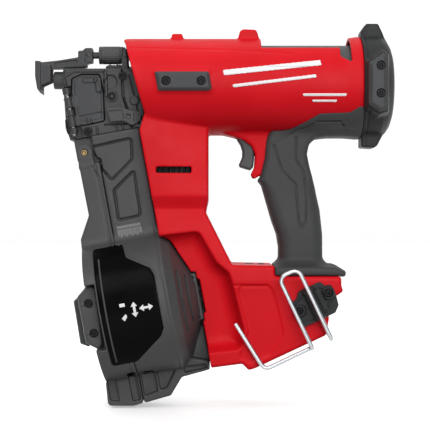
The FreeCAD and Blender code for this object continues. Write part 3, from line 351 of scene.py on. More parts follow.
# ---- materials
def add(tree, kind, inputs, output, **settings):
    """One output of a new shader node; its inputs are constants or other nodes' outputs."""
    node = tree.nodes.new("ShaderNode" + kind)
    for key, value in settings.items():
        setattr(node, key, value)
    for key, value in inputs.items():
        if isinstance(value, bpy.types.NodeSocket):
            tree.links.new(value, node.inputs[key])
        else:
            node.inputs[key].default_value = value
    return node.outputs[output]


def principled(name, colour, roughness, metallic=0.0, specular=0.5):
    material = bpy.data.materials.new(name)
    material.use_nodes = True
    shader = material.node_tree.nodes["Principled BSDF"]
    for key, value in (("Base Color", (*colour, 1)), ("Roughness", roughness),
                       ("Metallic", metallic), ("Specular IOR Level", specular)):
        shader.inputs[key].default_value = value
    return material, material.node_tree, shader


def object_points(tree, scale=(1, 1, 1)):
    where = add(tree, "TexCoord", {}, "Object")
    return add(tree, "Mapping", {"Vector": where, "Scale": scale}, "Vector")


def noise(tree, vector, scale, detail=3.0, rough=0.55):
    return add(tree, "TexNoise", {"Vector": vector, "Scale": scale, "Detail": detail,
                                  "Roughness": rough}, "Fac")


def span(tree, value, low, high, from_low=0.3, from_high=0.7):
    return add(tree, "MapRange", {"Value": value, "From Min": from_low, "From Max": from_high,
                                  "To Min": low, "To Max": high}, "Result")


def mix_colour(tree, factor, first, second):
    first, second = [(*end, 1) if isinstance(end, tuple) else end for end in (first, second)]
    return add(tree, "Mix", {"Factor": factor, "A": first, "B": second}, "Result",
               data_type="RGBA")


def multiply(tree, first, second):
    return add(tree, "Math", {0: first, 1: second}, 0, operation="MULTIPLY")


def worn_edges(tree):
    """Near 1 on sharp convex edges, broken up by noise."""
    sharp = span(tree, add(tree, "NewGeometry", {}, "Pointiness"), 0, 1, 0.53, 0.62)
    patches = noise(tree, object_points(tree), 1080, 4)
    return multiply(tree, sharp, span(tree, patches, 0, 1, 0.42, 0.62))


def dress(tree, shader, tone, patches, roughness, heights, strength):
    """Links a tone, patchy roughness and bumps, each a height output and a depth in metres."""
    tree.links.new(tone, shader.inputs["Base Color"])
    tree.links.new(span(tree, patches, *roughness), shader.inputs["Roughness"])
    normal = {}
    for height, depth in heights:
        bump = {"Strength": strength, "Distance": depth, "Height": height, **normal}
        normal = {"Normal": add(tree, "Bump", bump, "Normal")}
    tree.links.new(normal["Normal"], shader.inputs["Normal"])


def moulded(name, colour, lighter, roughness, grain=2600, grain_depth=0.00006, wear=None,
            wear_amount=0.5, specular=0.5):
    """Injection-moulded plastic: fine spark-eroded grain, soft tone shifts and rubbed edges."""
    material, tree, shader = principled(name, colour, roughness, specular=specular)
    where = object_points(tree)
    tone = mix_colour(tree, span(tree, noise(tree, where, 22, 4), 0, 1), colour, lighter)
    if wear:
        tone = mix_colour(tree, multiply(tree, worn_edges(tree), wear_amount), tone, wear)
    dress(tree, shader, tone, noise(tree, where, 60, 5), (roughness - 0.05, roughness + 0.08),
          [(noise(tree, where, grain, 2), grain_depth)], 0.35)
    return material


def rubber(name, colour, lighter, roughness=0.62):
    """Overmoulded elastomer: dull, with pebbled grain."""
    material, tree, shader = principled(name, colour, roughness, specular=0.35)
    where = object_points(tree)
    cells = add(tree, "TexVoronoi", {"Vector": where, "Scale": 1500}, "Distance")
    clouds = noise(tree, where, 30, 4)
    tone = mix_colour(tree, span(tree, clouds, 0, 1), colour, lighter)
    pebble = mix_colour(tree, span(tree, cells, 0, 0.35, 0, 0.6), tone, lighter)
    dress(tree, shader, pebble, clouds, (roughness - 0.06, roughness + 0.06),
          [(cells, 0.00012), (noise(tree, where, 3500, 2), 0.00004)], 0.4)
    return material


def metal(name, colour, lighter, roughness, stretch=(1, 1, 1), grain=700, depth=0.00003,
          wear=None, metallic=1.0):
    """Machined, cast or blackened metal; stretch lays the grain along an axis."""
    material, tree, shader = principled(name, colour, roughness, metallic)
    grains = noise(tree, object_points(tree, stretch), grain, 5, 0.7)
    tone = mix_colour(tree, span(tree, grains, 0, 1), colour, lighter)
    if wear:
        tone = mix_colour(tree, worn_edges(tree), tone, wear)
    dress(tree, shader, tone, noise(tree, object_points(tree), 45, 4),
          (roughness - 0.07, roughness + 0.09), [(grains, depth)], 0.4)
    return material


RED = moulded("red_nylon", (0.6, 0.004, 0.01), (0.67, 0.007, 0.015), 0.42, specular=0.11,
              wear=(0.7, 0.03, 0.04), wear_amount=0.25)
GREY_RUBBER = rubber("grey_overmould", (0.031, 0.032, 0.033), (0.043, 0.044, 0.045))
PAD_RUBBER = rubber("pad_rubber", (0.034, 0.035, 0.037), (0.048, 0.05, 0.052), 0.55)
BLACK_NYLON = moulded("black_nylon", (0.046, 0.047, 0.049), (0.058, 0.059, 0.061), 0.46,
                      grain=1900, grain_depth=0.00006, wear=(0.12, 0.12, 0.12), specular=0.35)
TRIM_NYLON = moulded("trim_nylon", (0.021, 0.022, 0.023), (0.03, 0.031, 0.032), 0.46,
                     grain=2200, wear=(0.1, 0.1, 0.1), specular=0.16)
WINDOW = moulded("smoke_window", (0.0015, 0.0015, 0.0018), (0.003, 0.003, 0.0033), 0.24,
                 grain_depth=0.00001, specular=0.035)
BADGE = moulded("badge_grey", (0.13, 0.132, 0.135), (0.17, 0.172, 0.175), 0.4, grain=2200)
NOSE_STEEL = metal("black_oxide_steel", (0.032, 0.033, 0.035), (0.045, 0.046, 0.048), 0.5,
                   wear=(0.2, 0.2, 0.2), metallic=0.35, grain=900, depth=0.00003)
SCREW_STEEL = metal("screw_oxide", (0.008, 0.008, 0.009), (0.018, 0.018, 0.02), 0.45,
                    wear=(0.1, 0.1, 0.1), metallic=0.85)
BRIGHT_STEEL = metal("ground_steel", (0.2, 0.2, 0.205), (0.28, 0.28, 0.29), 0.42,
                     stretch=(0.08, 1, 1))
ZINC = metal("zinc_wire", (0.4, 0.43, 0.45), (0.54, 0.57, 0.59), 0.3, wear=(0.75, 0.77, 0.78))
ALUMINIUM = metal("cast_aluminium", (0.09, 0.091, 0.093), (0.12, 0.122, 0.125), 0.5, grain=1200,
                  depth=0.00006)
BRASS = metal("brass", (0.3, 0.21, 0.1), (0.4, 0.29, 0.15), 0.38)
COPPER = metal("windings", (0.55, 0.22, 0.09), (0.7, 0.34, 0.16), 0.35, stretch=(1, 1, 6))
BOARD = moulded("board", (0.02, 0.16, 0.06), (0.03, 0.2, 0.08), 0.4)
WHITE_INK = moulded("white_ink", (0.78, 0.78, 0.79), (0.84, 0.84, 0.85), 0.45)
BUFF = moulded("elastomer", (0.05, 0.05, 0.045), (0.07, 0.07, 0.065), 0.6)
# Near-black finish for the vanes behind the cooling slot: painted shade that stands for the dark inside of the slot.
PAINTED_SLOT_SHADE = moulded("recess_shadow", (0.008, 0.008, 0.009), (0.012, 0.012, 0.013), 0.6)


# ---- housing
BARREL_Z = -6.0
BARREL_R = 42.0
WALL = 3.0
BARREL_SIDE = [(60.7, 33.5), (64.7, 37.5), (250, 37.5), (264.8, 39), (264.8, -60), (84, -60), (84, -45),
        (80, -30.7), (62.8, 29.4)]
COLUMN_SIDE = [(72, -20), (134, -20), (134, -104.5), (131.8, -114.7), (154, -158.8), (190, -159.5),
        (190, -168.5), (246, -168.5), (246, -176.5), (247.7, -181), (236, -188.6), (234, -192),
        (235.6, -204), (233, -218), (174, -245.5), (168, -247.5), (162.5, -242), (136, -245.5), (84, -236),
        (76, -150)]
FRONT_LUG = [(100.5, 30), (102.6, 39.6), (111.4, 39.6), (113.5, 30)]
REAR_LUG = [(158, 30), (161, 41.4), (164, 43.2), (174.7, 42.7), (176.4, 39.6), (179, 28)]
TRIGGER_FRAME = [(140, -38), (150, -47.6), (157.6, -50.2), (164.5, -52.8), (170.7, -57.6), (174, -65),
        (172.9, -75.6), (169.8, -81.2), (170.6, -85.6), (174.6, -86.6), (178.8, -83.3), (184, -86),
        (186.5, -66), (187, -54), (187, -38)]
SCOOP = [(88, -133), (124.5, -128.6), (129, -132), (141.7, -156), (152, -165), (154.5, -174), (164.2, -213),
        (162.7, -230), (88, -238)]
FOOT_PANEL = [(158, -177), (187, -177), (191, -190), (197, -216), (186, -234), (169, -241), (160, -236),
        (168, -214)]
FRONT_SEAT = [(86.5, 4.8), (136, 4.8), (139, -11.4), (135.6, -14.8), (90, -14.8)]
SCREW_SPOTS = [(98, 18), (90, -66), (126, -96), (102, -108), (240, -172), (180, -185)]
COIL_Z = -206.0
CANISTER_ROOM = [(-20, 63.2), (66.8, 63.2), (74.2, 56), (79.2, 44.2), (89.6, 24.4), (93, 24.4)]


def tilted(space):
    """The space's points seen in the magazine's tilted frame."""
    c, s = math.cos(MAGAZINE_TILT), math.sin(MAGAZINE_TILT)
    return space.x * c + space.z * s, -space.x * s + space.z * c


def on_foot(space):
    """The space's points seen along the foot's slanted underside."""
    c, s = math.cos(FOOT_TILT), math.sin(FOOT_TILT)
    dx, dz = space.x - 200, space.z + 232.6
    return dx * c + dz * s, -dx * s + dz * c


def ramp(value, start, end):
    return np.clip((value - start) / (end - start), 0, 1)


def lathe(axial, radial, profile):
    """Inside a turned shape whose radius runs through the profile's (axial, radius) points."""
    places, radii = zip(*profile)
    limit = np.interp(axial, places, radii)
    return both((radial - limit) * 0.75, band(axial, places[0], places[-1]))


def housing_skin(space, side):
    """Outer surface of the red housing, before the hollows and openings."""
    x, _, z, out = space
    around = np.hypot(out, z - BARREL_Z)
    girth = BARREL_R - 0.15 + 1.6 * ramp(x, 250, 262)
    barrel = meet(outline(x, z, BARREL_SIDE, 1.5), around - girth, 1.8)
    inward = 13.0 if side < 0 else 0.0
    half = 34 - inward * ramp(x, 74, 134) * ramp(z, -98, -38) - 0.8 * ramp(z, -60, -30)
    half = half - 4.5 * ramp(-z, 101, 111) + 8.0 * ramp(-z, 112, 172)
    column = slab(space, COLUMN_SIDE, 2.5, half, 2.6)
    body = join(barrel, column, 1.6)
    frame_half = 13.2 - 3 * ramp(-z, 50, 84)
    guard = slab(space, TRIGGER_FRAME, 3.0, frame_half, 2.8)
    body = join(body, guard, 4.0)
    for shape, width in ((FRONT_LUG, 9), (REAR_LUG, 12)):
        body = join(body, slab(space, shape, 1.5, width, 1.5), 1.5)
    return body


def scooped(space, body):
    """The deep scoop on each side of the foot, which leaves a web on the middle plane."""
    out = space.out
    scoop = outline(space.x, space.z, SCOOP, 7) + 0.3 * (38 - out)
    return carve(body, meet(scoop, 20.5 - out, 9), 1.2)


def housing_details(space, body, side):
    x, _, z, out = space
    body = join(body, slab(space, FRONT_SEAT, 3, 41.95, 1.2), 0.8)
    shallow = prism(outline(x, z, FOOT_PANEL, 5), 30 - out + 0 * x, 2)
    body = engrave(body, shallow, 1.1, 1.4)
    ledge = line(x, z, [(156, -176), (184, -176)]) - 0.9
    body = engrave(body, both(ledge, 30 - out), 0.9, 0.8)
    crest = line(x, z, [(66, 24.5), (150, 22.5), (205, 19)]) - 0.5
    body = engrave(body, both(crest, 20 - out), 0.35, 0.6)
    if side > 0:
        for sx, sz in SCREW_SPOTS:
            body = engrave(body, circle(x, z, (sx, sz), 3.5), 3.2, 0.4)
            body = engrave(body, circle(x, z, (sx, sz), 4.3), 0.6, 0.5)
    return body


def magazine_bay(space):
    """Room in front of the leg and the foot for the magazine's neck, drum, boss and foot."""
    out = space.out
    tx, tz = tilted(space)
    neck = both(tx - 66.3, tz + 50)
    drum = lathe(tx, np.hypot(out, tz - COIL_Z), CANISTER_ROOM)
    boss = both(out - 21.5, tx - 90.9, band(tz, -227.5, -184.5))
    foot = both(tx - 89.4, tz + 226)
    return either(neck, drum, boss, foot)


def housing_openings(space):
    """Everything cut right through: bays for the battery, window, trigger and nose."""
    x, _, z, out = space
    fx, fz = on_foot(space)
    battery = both(out - 30, band(fx, -34, 60), band(fz, -20, 13))
    mouth = both(np.hypot(out, z - BARREL_Z) - 38.4, x - 130)
    back = both(np.hypot(out, z - BARREL_Z) - 38.4, 128 - x)
    window = both(band(x, 179, 247), out - 28.2, 25.2 - z)
    window_end = both(band(x, 245.5, 254.5), 16 - z - 0.55 * (x - 247), out - 60)
    slot = both(band(x, 90, 119.5), band(z, -81.2, -76), 20 - out)
    trigger = both(outline(x, z, [(157, -46), (157, -90), (169.6, -90), (184, -86), (185, -44)]), out - 8.9)
    nose = both(outline(x, z, [(50, 31), (50, -60), (86, -60), (86, -23), (68, -23), (68, 31)]), out - 14.5)
    corner = outline(x, z, [(50, 30), (62.6, 30), (80, -31), (75.5, -46), (50, -46)])
    buttons = both(either(band(x, 165.2, 172.9), band(x, 176.5, 182.5)), out - 4.4, -170 - z)
    rooms = [battery, mouth, back, window, window_end, slot, trigger, nose, corner, buttons]
    return either(*rooms)


def housing(side, node):
    low, high = box_mm(node)
    space = Space(low - Vector((2, 2, 2)), high + Vector((2, 2, 2)), 1.0)
    plain = scooped(space, housing_skin(space, side))
    bay = magazine_bay(space)
    hollow = both(plain + WALL, 2.4 - bay)
    for sx, sz in SCREW_SPOTS:
        hollow = carve(hollow, circle(space.x, space.z, (sx, sz), 5.0))
    shell = carve(housing_details(space, plain, side), hollow)
    shell = carve(shell, either(bay, housing_openings(space)), 0.8)
    shell = meet(shell, 0.05 - side * space.y, 0.4)
    solid(node, space, shell, RED, keep=0.45)


housing(-1, "housing_left")
housing(1, "housing_right")


# ---- grip overmould
GRIP_SIDE = [(178.6, -83.6), (176.2, -87), (179.5, -91), (182.6, -102), (188.4, -122), (192.6, -133.5),
        (194.3, -144), (194.3, -154), (189.5, -160.4), (189.5, -168), (249.5, -168), (249.5, -165.2),
        (242.5, -160), (236.5, -159.4), (232.4, -154), (232.2, -134), (230, -112.6), (225.8, -93.5),
        (220.8, -75.3), (218.6, -64.5), (220.3, -56.4), (226, -50.8), (236, -48.9), (265, -48.9),
        (265, -36), (189, -36), (183.5, -52.5), (182.2, -68)]
SADDLE_SIDE = [(183, -53), (189.5, -51.5), (194, -48.5), (218, -37), (228, -31.3), (253, -30.4),
        (265, -23.5), (265, -56), (183, -56)]
SADDLE_LINE = [(185.8, -58), (211.2, -44.6), (226.3, -37.6), (245.6, -37.6), (249, -41)]
GRIP_LINE = [(190, -57), (196.8, -78.6), (208.7, -90.6), (211.3, -122.9), (213.8, -128.2), (217.3, -122.9),
        (218.1, -104), (215.6, -80.3), (208.7, -69.2), (208.7, -50)]


def grip():
    low, high = box_mm("grip_overmould")
    x, _, z, out = space = Space((low.x - 2, -40, low.z - 2), (high.x + 2, 40, high.z + 2), 0.75)
    flare = ramp(-z, 153, 164) ** 2
    half = 17.4 + 18.5 * flare - 1.6 * ramp(z, -128, -98) * ramp(-z, 60, 95)
    rim = 11.5 - 6.5 * ramp(z, -100, -84)
    handle = slab(space, GRIP_SIDE, 5, half, rim)
    flange = slab(space, [(190, -160.6), (190, -168), (249.4, -168), (249.4, -165), (241, -160.6)], 1.5,
            36.5, 2.5)
    handle = join(handle, flange, 5)
    around = np.hypot(out, z - BARREL_Z)
    girth = BARREL_R + 1.3 + 1.6 * ramp(x, 250, 262)
    saddle = prism(outline(x, z, SADDLE_SIDE, 4), around - girth, 0.7)
    body = join(handle, saddle, 5)
    body = both(body, band(x, low.x, 264.88))
    for mark, width, depth in ((SADDLE_LINE, 0.7, 0.6), (GRIP_LINE, 0.65, 1.0)):
        body = engrave(body, line(x, z, mark) - width, depth, 0.3)
    body = carve(body, housing_skin(space, 1) - 0.15)
    trigger = both(outline(x, z, [(150, -40), (150, -90), (170, -90), (184, -86), (185, -40)]), out - 9.2)
    body = carve(body, trigger)
    solid("grip_overmould", space, body, GREY_RUBBER, keep=0.5)


# ---- screws
def screw_mesh(name, radius, height):
    """A button head with a six-lobed drive recess; its axis runs out along local -Y."""
    step = radius / 11
    x, y, z, _ = space = Space((-radius - 1, -height - 1, -radius - 1), (radius + 1, 1, radius + 1), step)
    across = np.hypot(x, z)
    head = prism(across - radius, np.abs(y + height / 2) - height / 2, 0.3 * height)
    angle = np.arctan2(z, x)
    lobes = across - radius * (0.4 + 0.07 * np.cos(6 * angle))
    head = carve(head, both(lobes, y + 0.35 * height), 0.1)
    ring = np.abs(across - 0.72 * radius) - 0.05 * radius
    head = engrave(head, both(ring, y + 0.5 * height), 0.12, 0.1)
    points, quads = skin(space, head)
    mesh = bpy.data.meshes.new(name)
    mesh.from_pydata((points * MM).tolist(), [], quads.tolist())
    mesh.polygons.foreach_set("use_smooth", [True] * len(mesh.polygons))
    mesh.materials.append(SCREW_STEEL)
    return mesh


def place_screws(name, mesh, spots, body, node_names, slot="dark_screw"):
    """Puts one object per (point in mm, outward direction); the first replaces the CAD nodes."""
    for index, (point, direction) in enumerate(spots):
        piece = bpy.data.objects.new("%s_%d" % (name, index + 1), mesh)
        turn = Vector((0, -1, 0)).rotation_difference(Vector(direction)).to_matrix().to_4x4()
        piece.matrix_world = Matrix.Translation(Vector(point) * MM) @ turn
        bpy.context.scene.collection.objects.link(piece)
        attach(piece, body, node_names if index == 0 else (), slot)


# ---- rear cap and wear pads
CAP_PROFILE = [(264.9, 43.8), (281.5, 43.8), (286.5, 40.4), (289.6, 35.6), (291.6, 29.5), (293.4, 14),
        (293.9, 4), (293.95, 0)]
CAP_INSIDE = [(250, 39.4), (281, 39.4), (284, 35.4), (286, 30), (288.5, 16), (289.5, 0)]
TOP_LUG = [(265.4, 30), (265, 41.2), (269, 47.7), (279.8, 47.7), (284, 38.8), (287, 30)]
BOTTOM_LUG = [(265.4, -38), (265.2, -58.6), (276.2, -59.2), (279.2, -57), (283, -49.5), (287, -38)]
PAD_SIDE = [(267, 9), (279.6, 18), (282.5, 15), (282.5, -30), (275.5, -31.3), (267, -25)]
LUG_SIDE = [(265.4, 12), (279.8, 22.5), (285.4, 17), (285.4, -32), (275.8, -35.4), (265.4, -28)]
FRONT_PAD = [(89, 3), (134.5, 3), (137, -11), (134.5, -13), (92, -13)]


def rear_cap():
    low, high = box_mm("rear_cap")
    x, _, z, out = space = Space(low - Vector((2, 2, 2)), high + Vector((2, 2, 2)), 0.9)
    around = np.hypot(out, z - BARREL_Z)
    cap = lathe(x, around, CAP_PROFILE)
    for side_shape, half in ((TOP_LUG, 13), (BOTTOM_LUG, 13)):
        cap = join(cap, slab(space, side_shape, 1.6, half, 1.8), 2.0)
    flat = outline(x, z, LUG_SIDE, 2)
    lug = prism(flat + 0.25 * both(out - 40, 0), out - 48.9, 1.0)
    cap = join(cap, both(lug, 20 - out), 1.6)
    cap = carve(cap, lathe(x, around, CAP_INSIDE))
    cap = engrave(cap, both(np.abs(x - 268.6) - 0.45, -(around - 41)), 0.6, 0.3)
    for height in (6.0, -18.0):
        vent = both(np.abs(z - height) - 1.1, out - 17)
        cap = engrave(cap, both(vent, 288 - x), 1.6, 0.5)
    solid("rear_cap", space, cap, TRIM_NYLON, keep=0.8)


def wear_pads(node, shape, face, thickness, spots, screw_node, head):
    """The two rubber pads of a pair, each with a chamfered rim and sunk screws."""
    screws = []
    for side, tag in ((-1, "left"), (1, "right")):
        low, high = box_mm(node)
        inner, outer = sorted((side * (face - 1), side * (face + thickness + 1)))
        x, _, z, _ = space = Space((low.x - 1, inner, low.z - 1), (high.x + 1, outer, high.z + 1), 0.6)
        depth = side * space.y
        flat = outline(x, z, shape, 1.6)
        pad = prism(flat + 0.9 * both(depth - face - 0.42 * thickness, 0),
                np.abs(depth - face - thickness / 2) - thickness / 2, 0.6)
        for sx, sz in spots:
            hole = circle(x, z, (sx, sz), head + 0.3)
            pad = carve(pad, both(hole, face + thickness - 2.6 - depth), 0.3)
            screws.append(((sx, side * (face + thickness - 2.5), sz), (0, side, 0)))
        solid("%s_%s" % (node, tag), space, pad, PAD_RUBBER, "housing", [node] if side < 0 else (),
                "black_overmould")
    mesh = screw_mesh(screw_node + "_head", head, 1.6)
    place_screws(screw_node, mesh, screws, "housing", [screw_node])


# ---- trigger
TRIGGER_SIDE = [(158.7, -47.8), (158.5, -51.5), (161.6, -56.4), (163.2, -61.5), (163.1, -66.5),
        (161.3, -70.8), (160.2, -73.2), (160.9, -75.4), (170, -78.2), (172.6, -75.4), (173.7, -65),
        (173.2, -52), (167.5, -47.8), (165, -43.6), (161, -43.6)]


def trigger():
    low, high = box_mm("trigger")
    x, _, z, out = space = Space(low - Vector((1, 1, 1)), high + Vector((1, 1, 1)), 0.5)
    flat = outline(x, z, TRIGGER_SIDE, 1.5)
    body = prism(flat, out - 8.4, 2.4)
    ribs = np.abs((z + 52) % 4.0 - 2.0) - 0.5
    front = both(ribs, out - 5.5, flat + 0.6 + 0 * out)
    body = engrave(body, both(front, x - 165), 0.25, 0.3)
    body = carve(body, circle(x, z, (163, -46.3), 1.55))
    solid("trigger", space, body, BLACK_NYLON, "trigger")


grip()
rear_cap()
wear_pads("rear_side_pads", PAD_SIDE, 49.0, 5.5, [(277, 7.0), (277, -16.0)], "rear_pad_screws", 3.4)
wear_pads("front_side_pads", FRONT_PAD, 42.0, 4.5, [(98.7, -5), (128, -5)], "front_pad_screws", 3.4)
trigger()


# ---- magazine, tilted frame
CAN_R = 62.0
NECK_HALF = 16.0
THROAT_HALF = 5.6
PIVOT = (15.6, -67.4)
NECK_REAR = [(8, -54.4), (65.5, -54.4), (65.5, -150), (27.4, -150), (27.4, -75), (9.6, -75), (8, -73.2)]
NECK_FRONT = [(9, -77.4), (27, -77.4), (27, -152), (-1, -152), (-1, -140), (9.5, -121)]
REAR_DRUM = [(27.4, 61.5), (66, 61.5), (73, 55), (78, 43.5), (88, 24)]
DRUM_INSIDE = [(-2.2, 29.4), (2, 58.7), (67.2, 58.7), (69.6, 53), (74.3, 41.8), (84, 22)]
DOOR_INSIDE = [(11, 58.7), (67.2, 58.7)]
FOOT_CLEAR = [(-20, 61), (66, 61), (72, 54), (77, 42.5), (87, 23), (96, 0)]
FRONT_DRUM = [(-3.4, 36), (-1.2, 61.5), (27, 61.5)]
WINDOW_SIDE = [(8.8, -150.5), (34, -150.5), (36, -162), (55, -174), (57.2, -180), (57.2, -224), (54, -230),
        (29.5, -248.5), (8.8, -248.5)]
UPPER_PANEL = [(21, -63), (56, -61.5), (58, -64), (55.5, -81), (34, -96), (27, -84)]
LOWER_PANEL = [(34, -103), (55.5, -88.5), (54, -127.5), (51.5, -130), (33, -130.5)]
REAR_FOOT = [(27.4, -250), (27.4, -287.4), (51, -285), (63, -271.3), (88, -269.3), (88, -261.5), (70, -255)]
DOOR_FOOT = [(-3.5, -250), (-1.5, -258), (-3.5, -284), (18, -288), (27, -287.4), (27, -250)]
GUSSET = [(58, -264), (89, -264), (89, -231), (84, -227), (68, -255)]
SEAT_SIDE = [(-9.8, -186.6), (1.5, -177.5), (7.6, -182), (4.9, -228.9), (1.1, -234), (-9.8, -226)]
PAD_PLATE = [(-9.1, -186), (-15.8, -190.5), (-16.6, -227), (-9.1, -231.5)]
FOOT_POCKETS = [[(18, -258.5), (25.6, -258.5), (25.6, -283), (18, -284)],
        [(28.8, -258.5), (41, -260), (41, -279), (28.8, -281)], [(43, -262), (59.5, -263), (49, -277.5),
        (43, -278.5)], [(66, -262.5), (86, -264), (86, -267.4), (66, -267.8)],
        [(-0.5, -261), (7.4, -261), (7.4, -282), (-0.5, -280)]]
SEAT_SCREWS = (-193.8, -219.0)
BADGE_SIDE = [(30.5, -134.5), (52.5, -134.5), (52.5, -149), (31.5, -149)]


def throat(space):
    return both(band(space.x, 12, 60), space.out - THROAT_HALF, band(space.z, -175, -50))


def window_hole(space):
    return both(outline(space.x, space.z, WINDOW_SIDE, 2.5), space.y + 18)


def foot_pockets(space, body):
    out = space.out
    for pocket in FOOT_POCKETS:
        body = carve(body, prism(outline(space.x, space.z, pocket, 1.4), 15.5 - out, 0.6), 0.5)
    lip = line(space.x, space.z, [(-3.5, -285.2), (16, -289), (28, -288.4), (51.5, -286.4), (63.6, -272.6),
            (88, -270.6)]) - 1.4
    return carve(body, both(lip, 18.4 - out), 0.4)


def magazine_body():
    x, y, z, out = space = Space((5, -64, -291), (93, 64, -51), 0.8)
    around = np.hypot(y, z - COIL_Z)
    neck = slab(space, NECK_REAR, 1.5, NECK_HALF, 1.4)
    drum = lathe(x, around, REAR_DRUM)
    boss = prism(both(band(z, -226, -186), band(x, 80, 90.6)), out - 20, 1.2)
    drum = join(drum, boss, 1)
    body = join(neck, drum, 7)
    body = both(body, x - 90.6)
    ring = np.abs(x - 63.2) - 0.5
    body = engrave(body, both(ring, around - 70), 0.5, 0.4)
    rim = np.abs(outline(x, z, WINDOW_SIDE, 2.5) - 1.5) - 0.6
    body = raise_up(body, both(rim, y + 22), 0.45, 0.5)
    for panel in (UPPER_PANEL, LOWER_PANEL):
        flat = outline(x, z, panel, 2.5)
        body = engrave(body, both(flat, 10 - out), 1.5, 0.7)
        body = engrave(body, both(np.abs(flat + 1.0) - 0.8, 10 - out), 2.3, 0.6)
    collar = line(x, z, [(20, -59.6), (62, -59.6)]) - 0.35
    body = engrave(body, both(collar, 10 - out), 0.6, 0.3)
    for at, top, low, width in ((75.4, -181, -231, 1.1), (81.4, -186, -226, 0.7)):
        slot = line(x, z, [(at, top), (at + 0.4, low)]) - width
        body = engrave(body, both(slot, 8 - out), 2.2, 0.3)
    for index in range(4):
        vent = both(np.abs(z + 219.7 - 10 * index) - 1.5, out - 16)
        body = engrave(body, both(vent, 86 - x), 1.8, 0.5)
    foot = slab(space, REAR_FOOT, 2.5, 20, 1.4)
    foot = join(foot, slab(space, GUSSET, 1.5, 7.8, 1.0), 1.2)
    ridge = line(x, z, [(51, -277), (72.7, -246), (86, -225)]) - 1.1
    foot = join(foot, both(ridge, out - 19, x - 88), 0.8)
    body = join(body, both(foot, -lathe(x, around, FOOT_CLEAR)), 1.5)
    body = foot_pockets(space, body)
    core = prism(both(band(x, 20, 27.2), band(z, -77.7, -68)), out - 9.4, 0.5)
    body = join(body, core)
    tongue = both(band(x, 84, 92.5), band(z, -262, -189), out - 6)
    body = join(body, tongue, 0.6)
    inside = lathe(x, around, DRUM_INSIDE)
    hollows = [inside, throat(space), window_hole(space), both(x - 27.3, z + 77.8),
            circle(x, z, PIVOT, 2.6), both(band(x, 0, 24), band(z, -77, -50), 9.7 - out),
            both(band(x, 30, 52), band(z, -109.6, -70), 5 - y), both(band(x, 27.9, 54.1),
            band(z, -110.1, -67.9), 12.6 - y)]
    body = carve(body, either(*hollows), 0.5)
    body = join(body, both(around - 8, band(x, 19, 85)), 1.0)
    lap = both(np.abs(around - 57.65) - 0.8, band(x, 25, 30), z + 225)
    body = join(body, lap)
    solid("magazine_body", space, body, BLACK_NYLON, frame_at=TILT, keep=0.5)


def canister_door():
    x, y, z, out = space = Space((-19, -64, -291), (29, 64, -58), 0.7)
    around = np.hypot(y, z - COIL_Z)
    neck = slab(space, NECK_FRONT, 2.0, NECK_HALF, 1.4)
    neck = join(neck, prism(both(band(x, 9, 22.5), band(z, -80, -67.4)), out - 16, 1.0), 2)
    ear = prism(circle(x, z, PIVOT, 6.9), out - 16, 0.8)
    drum = lathe(x, around, FRONT_DRUM)
    body = join(join(neck, ear, 1.0), drum, 6)
    pocket = both(prism(band(z, -233.5, -178.5), 30 - out, 1.5), x - 7.4)
    body = carve(body, pocket, 0.8)
    seat = prism(outline(x, z, SEAT_SIDE, 1.5) + 0.4 * both(out - 42, 0), out - 45, 1.0)
    backing = prism(both(band(x, 0.8, 8.5), band(z, -233, -179)), out - 41, 1.0)
    body = join(join(body, seat, 1.5), backing, 1.0)
    foot = both(slab(space, DOOR_FOOT, 4.0, 20, 1.4), CAN_R - 1 - around)
    body = join(body, foot, 2.0)
    body = foot_pockets(space, body)
    body = engrave(body, np.abs(x - 22.8) - 0.45, 0.55, 0.3)
    seam = line(x, z, [(20.2, -80), (24.5, -91.5), (24.5, -152)]) - 0.4
    body = engrave(body, both(seam, 10 - out), 0.9, 0.3)
    rings = either(np.abs(around - 40), np.abs(around - 52)) - 0.6
    body = engrave(body, both(rings, x - 4), 0.6, 0.4)
    for turn in range(12):
        angle = math.radians(15 + 30 * turn)
        along = y * math.cos(angle) + (z - COIL_Z) * math.sin(angle)
        across = -y * math.sin(angle) + (z - COIL_Z) * math.cos(angle)
        rib = both(band(along, 33, 56), np.abs(across) - 0.8, x - 4)
        body = raise_up(body, rib, 0.5, 0.4)
    for sz in SEAT_SCREWS:
        hole = circle(x, z, (-1.2, sz), 3.5)
        body = carve(body, both(hole, 42.6 - out), 0.3)
    hollows = [lathe(x, around, DOOR_INSIDE), throat(space), window_hole(space), circle(x, z, PIVOT, 2.6),
            both(band(x, 0, 60), out - 9.9, -78 - z)]
    body = carve(both(body, x - 27.22), either(*hollows), 0.5)
    solid("canister_door", space, body, BLACK_NYLON, "canister_door", frame_at=TILT, keep=0.5)


def door_pad():
    x, _, z, out = space = Space((-18.5, -28, -234), (-8, 28, -183), 0.6)
    flat = outline(x, z, PAD_PLATE, 1.2) + 0.35 * both(out - 23, 0)
    pad = prism(flat, out - 26, 1.0)
    for at in (-199, -209, -219):
        tread = both(np.abs(z - at) - 0.9, out - 20)
        pad = engrave(pad, both(tread, x + 13), 0.9, 0.4)
    pad = both(pad, x + 9.08)
    solid("door_pad", space, pad, PAD_RUBBER, "canister_door", frame_at=TILT)


def tilt_point(x, y, z):
    return TILT @ Vector((x, y, z))


def window():
    x, y, z, _ = space = Space((7, -64, -252), (59, -16, -148), 0.6)
    around = np.hypot(y, z - COIL_Z)
    pane = both(np.abs(around - 60.0) - 1.2, outline(x, z, WINDOW_SIDE, 2.5) + 0.25)
    pane = both(pane, y + 18.6)
    solid("canister_window", space, pane, WINDOW, frame_at=TILT, keep=0.6)


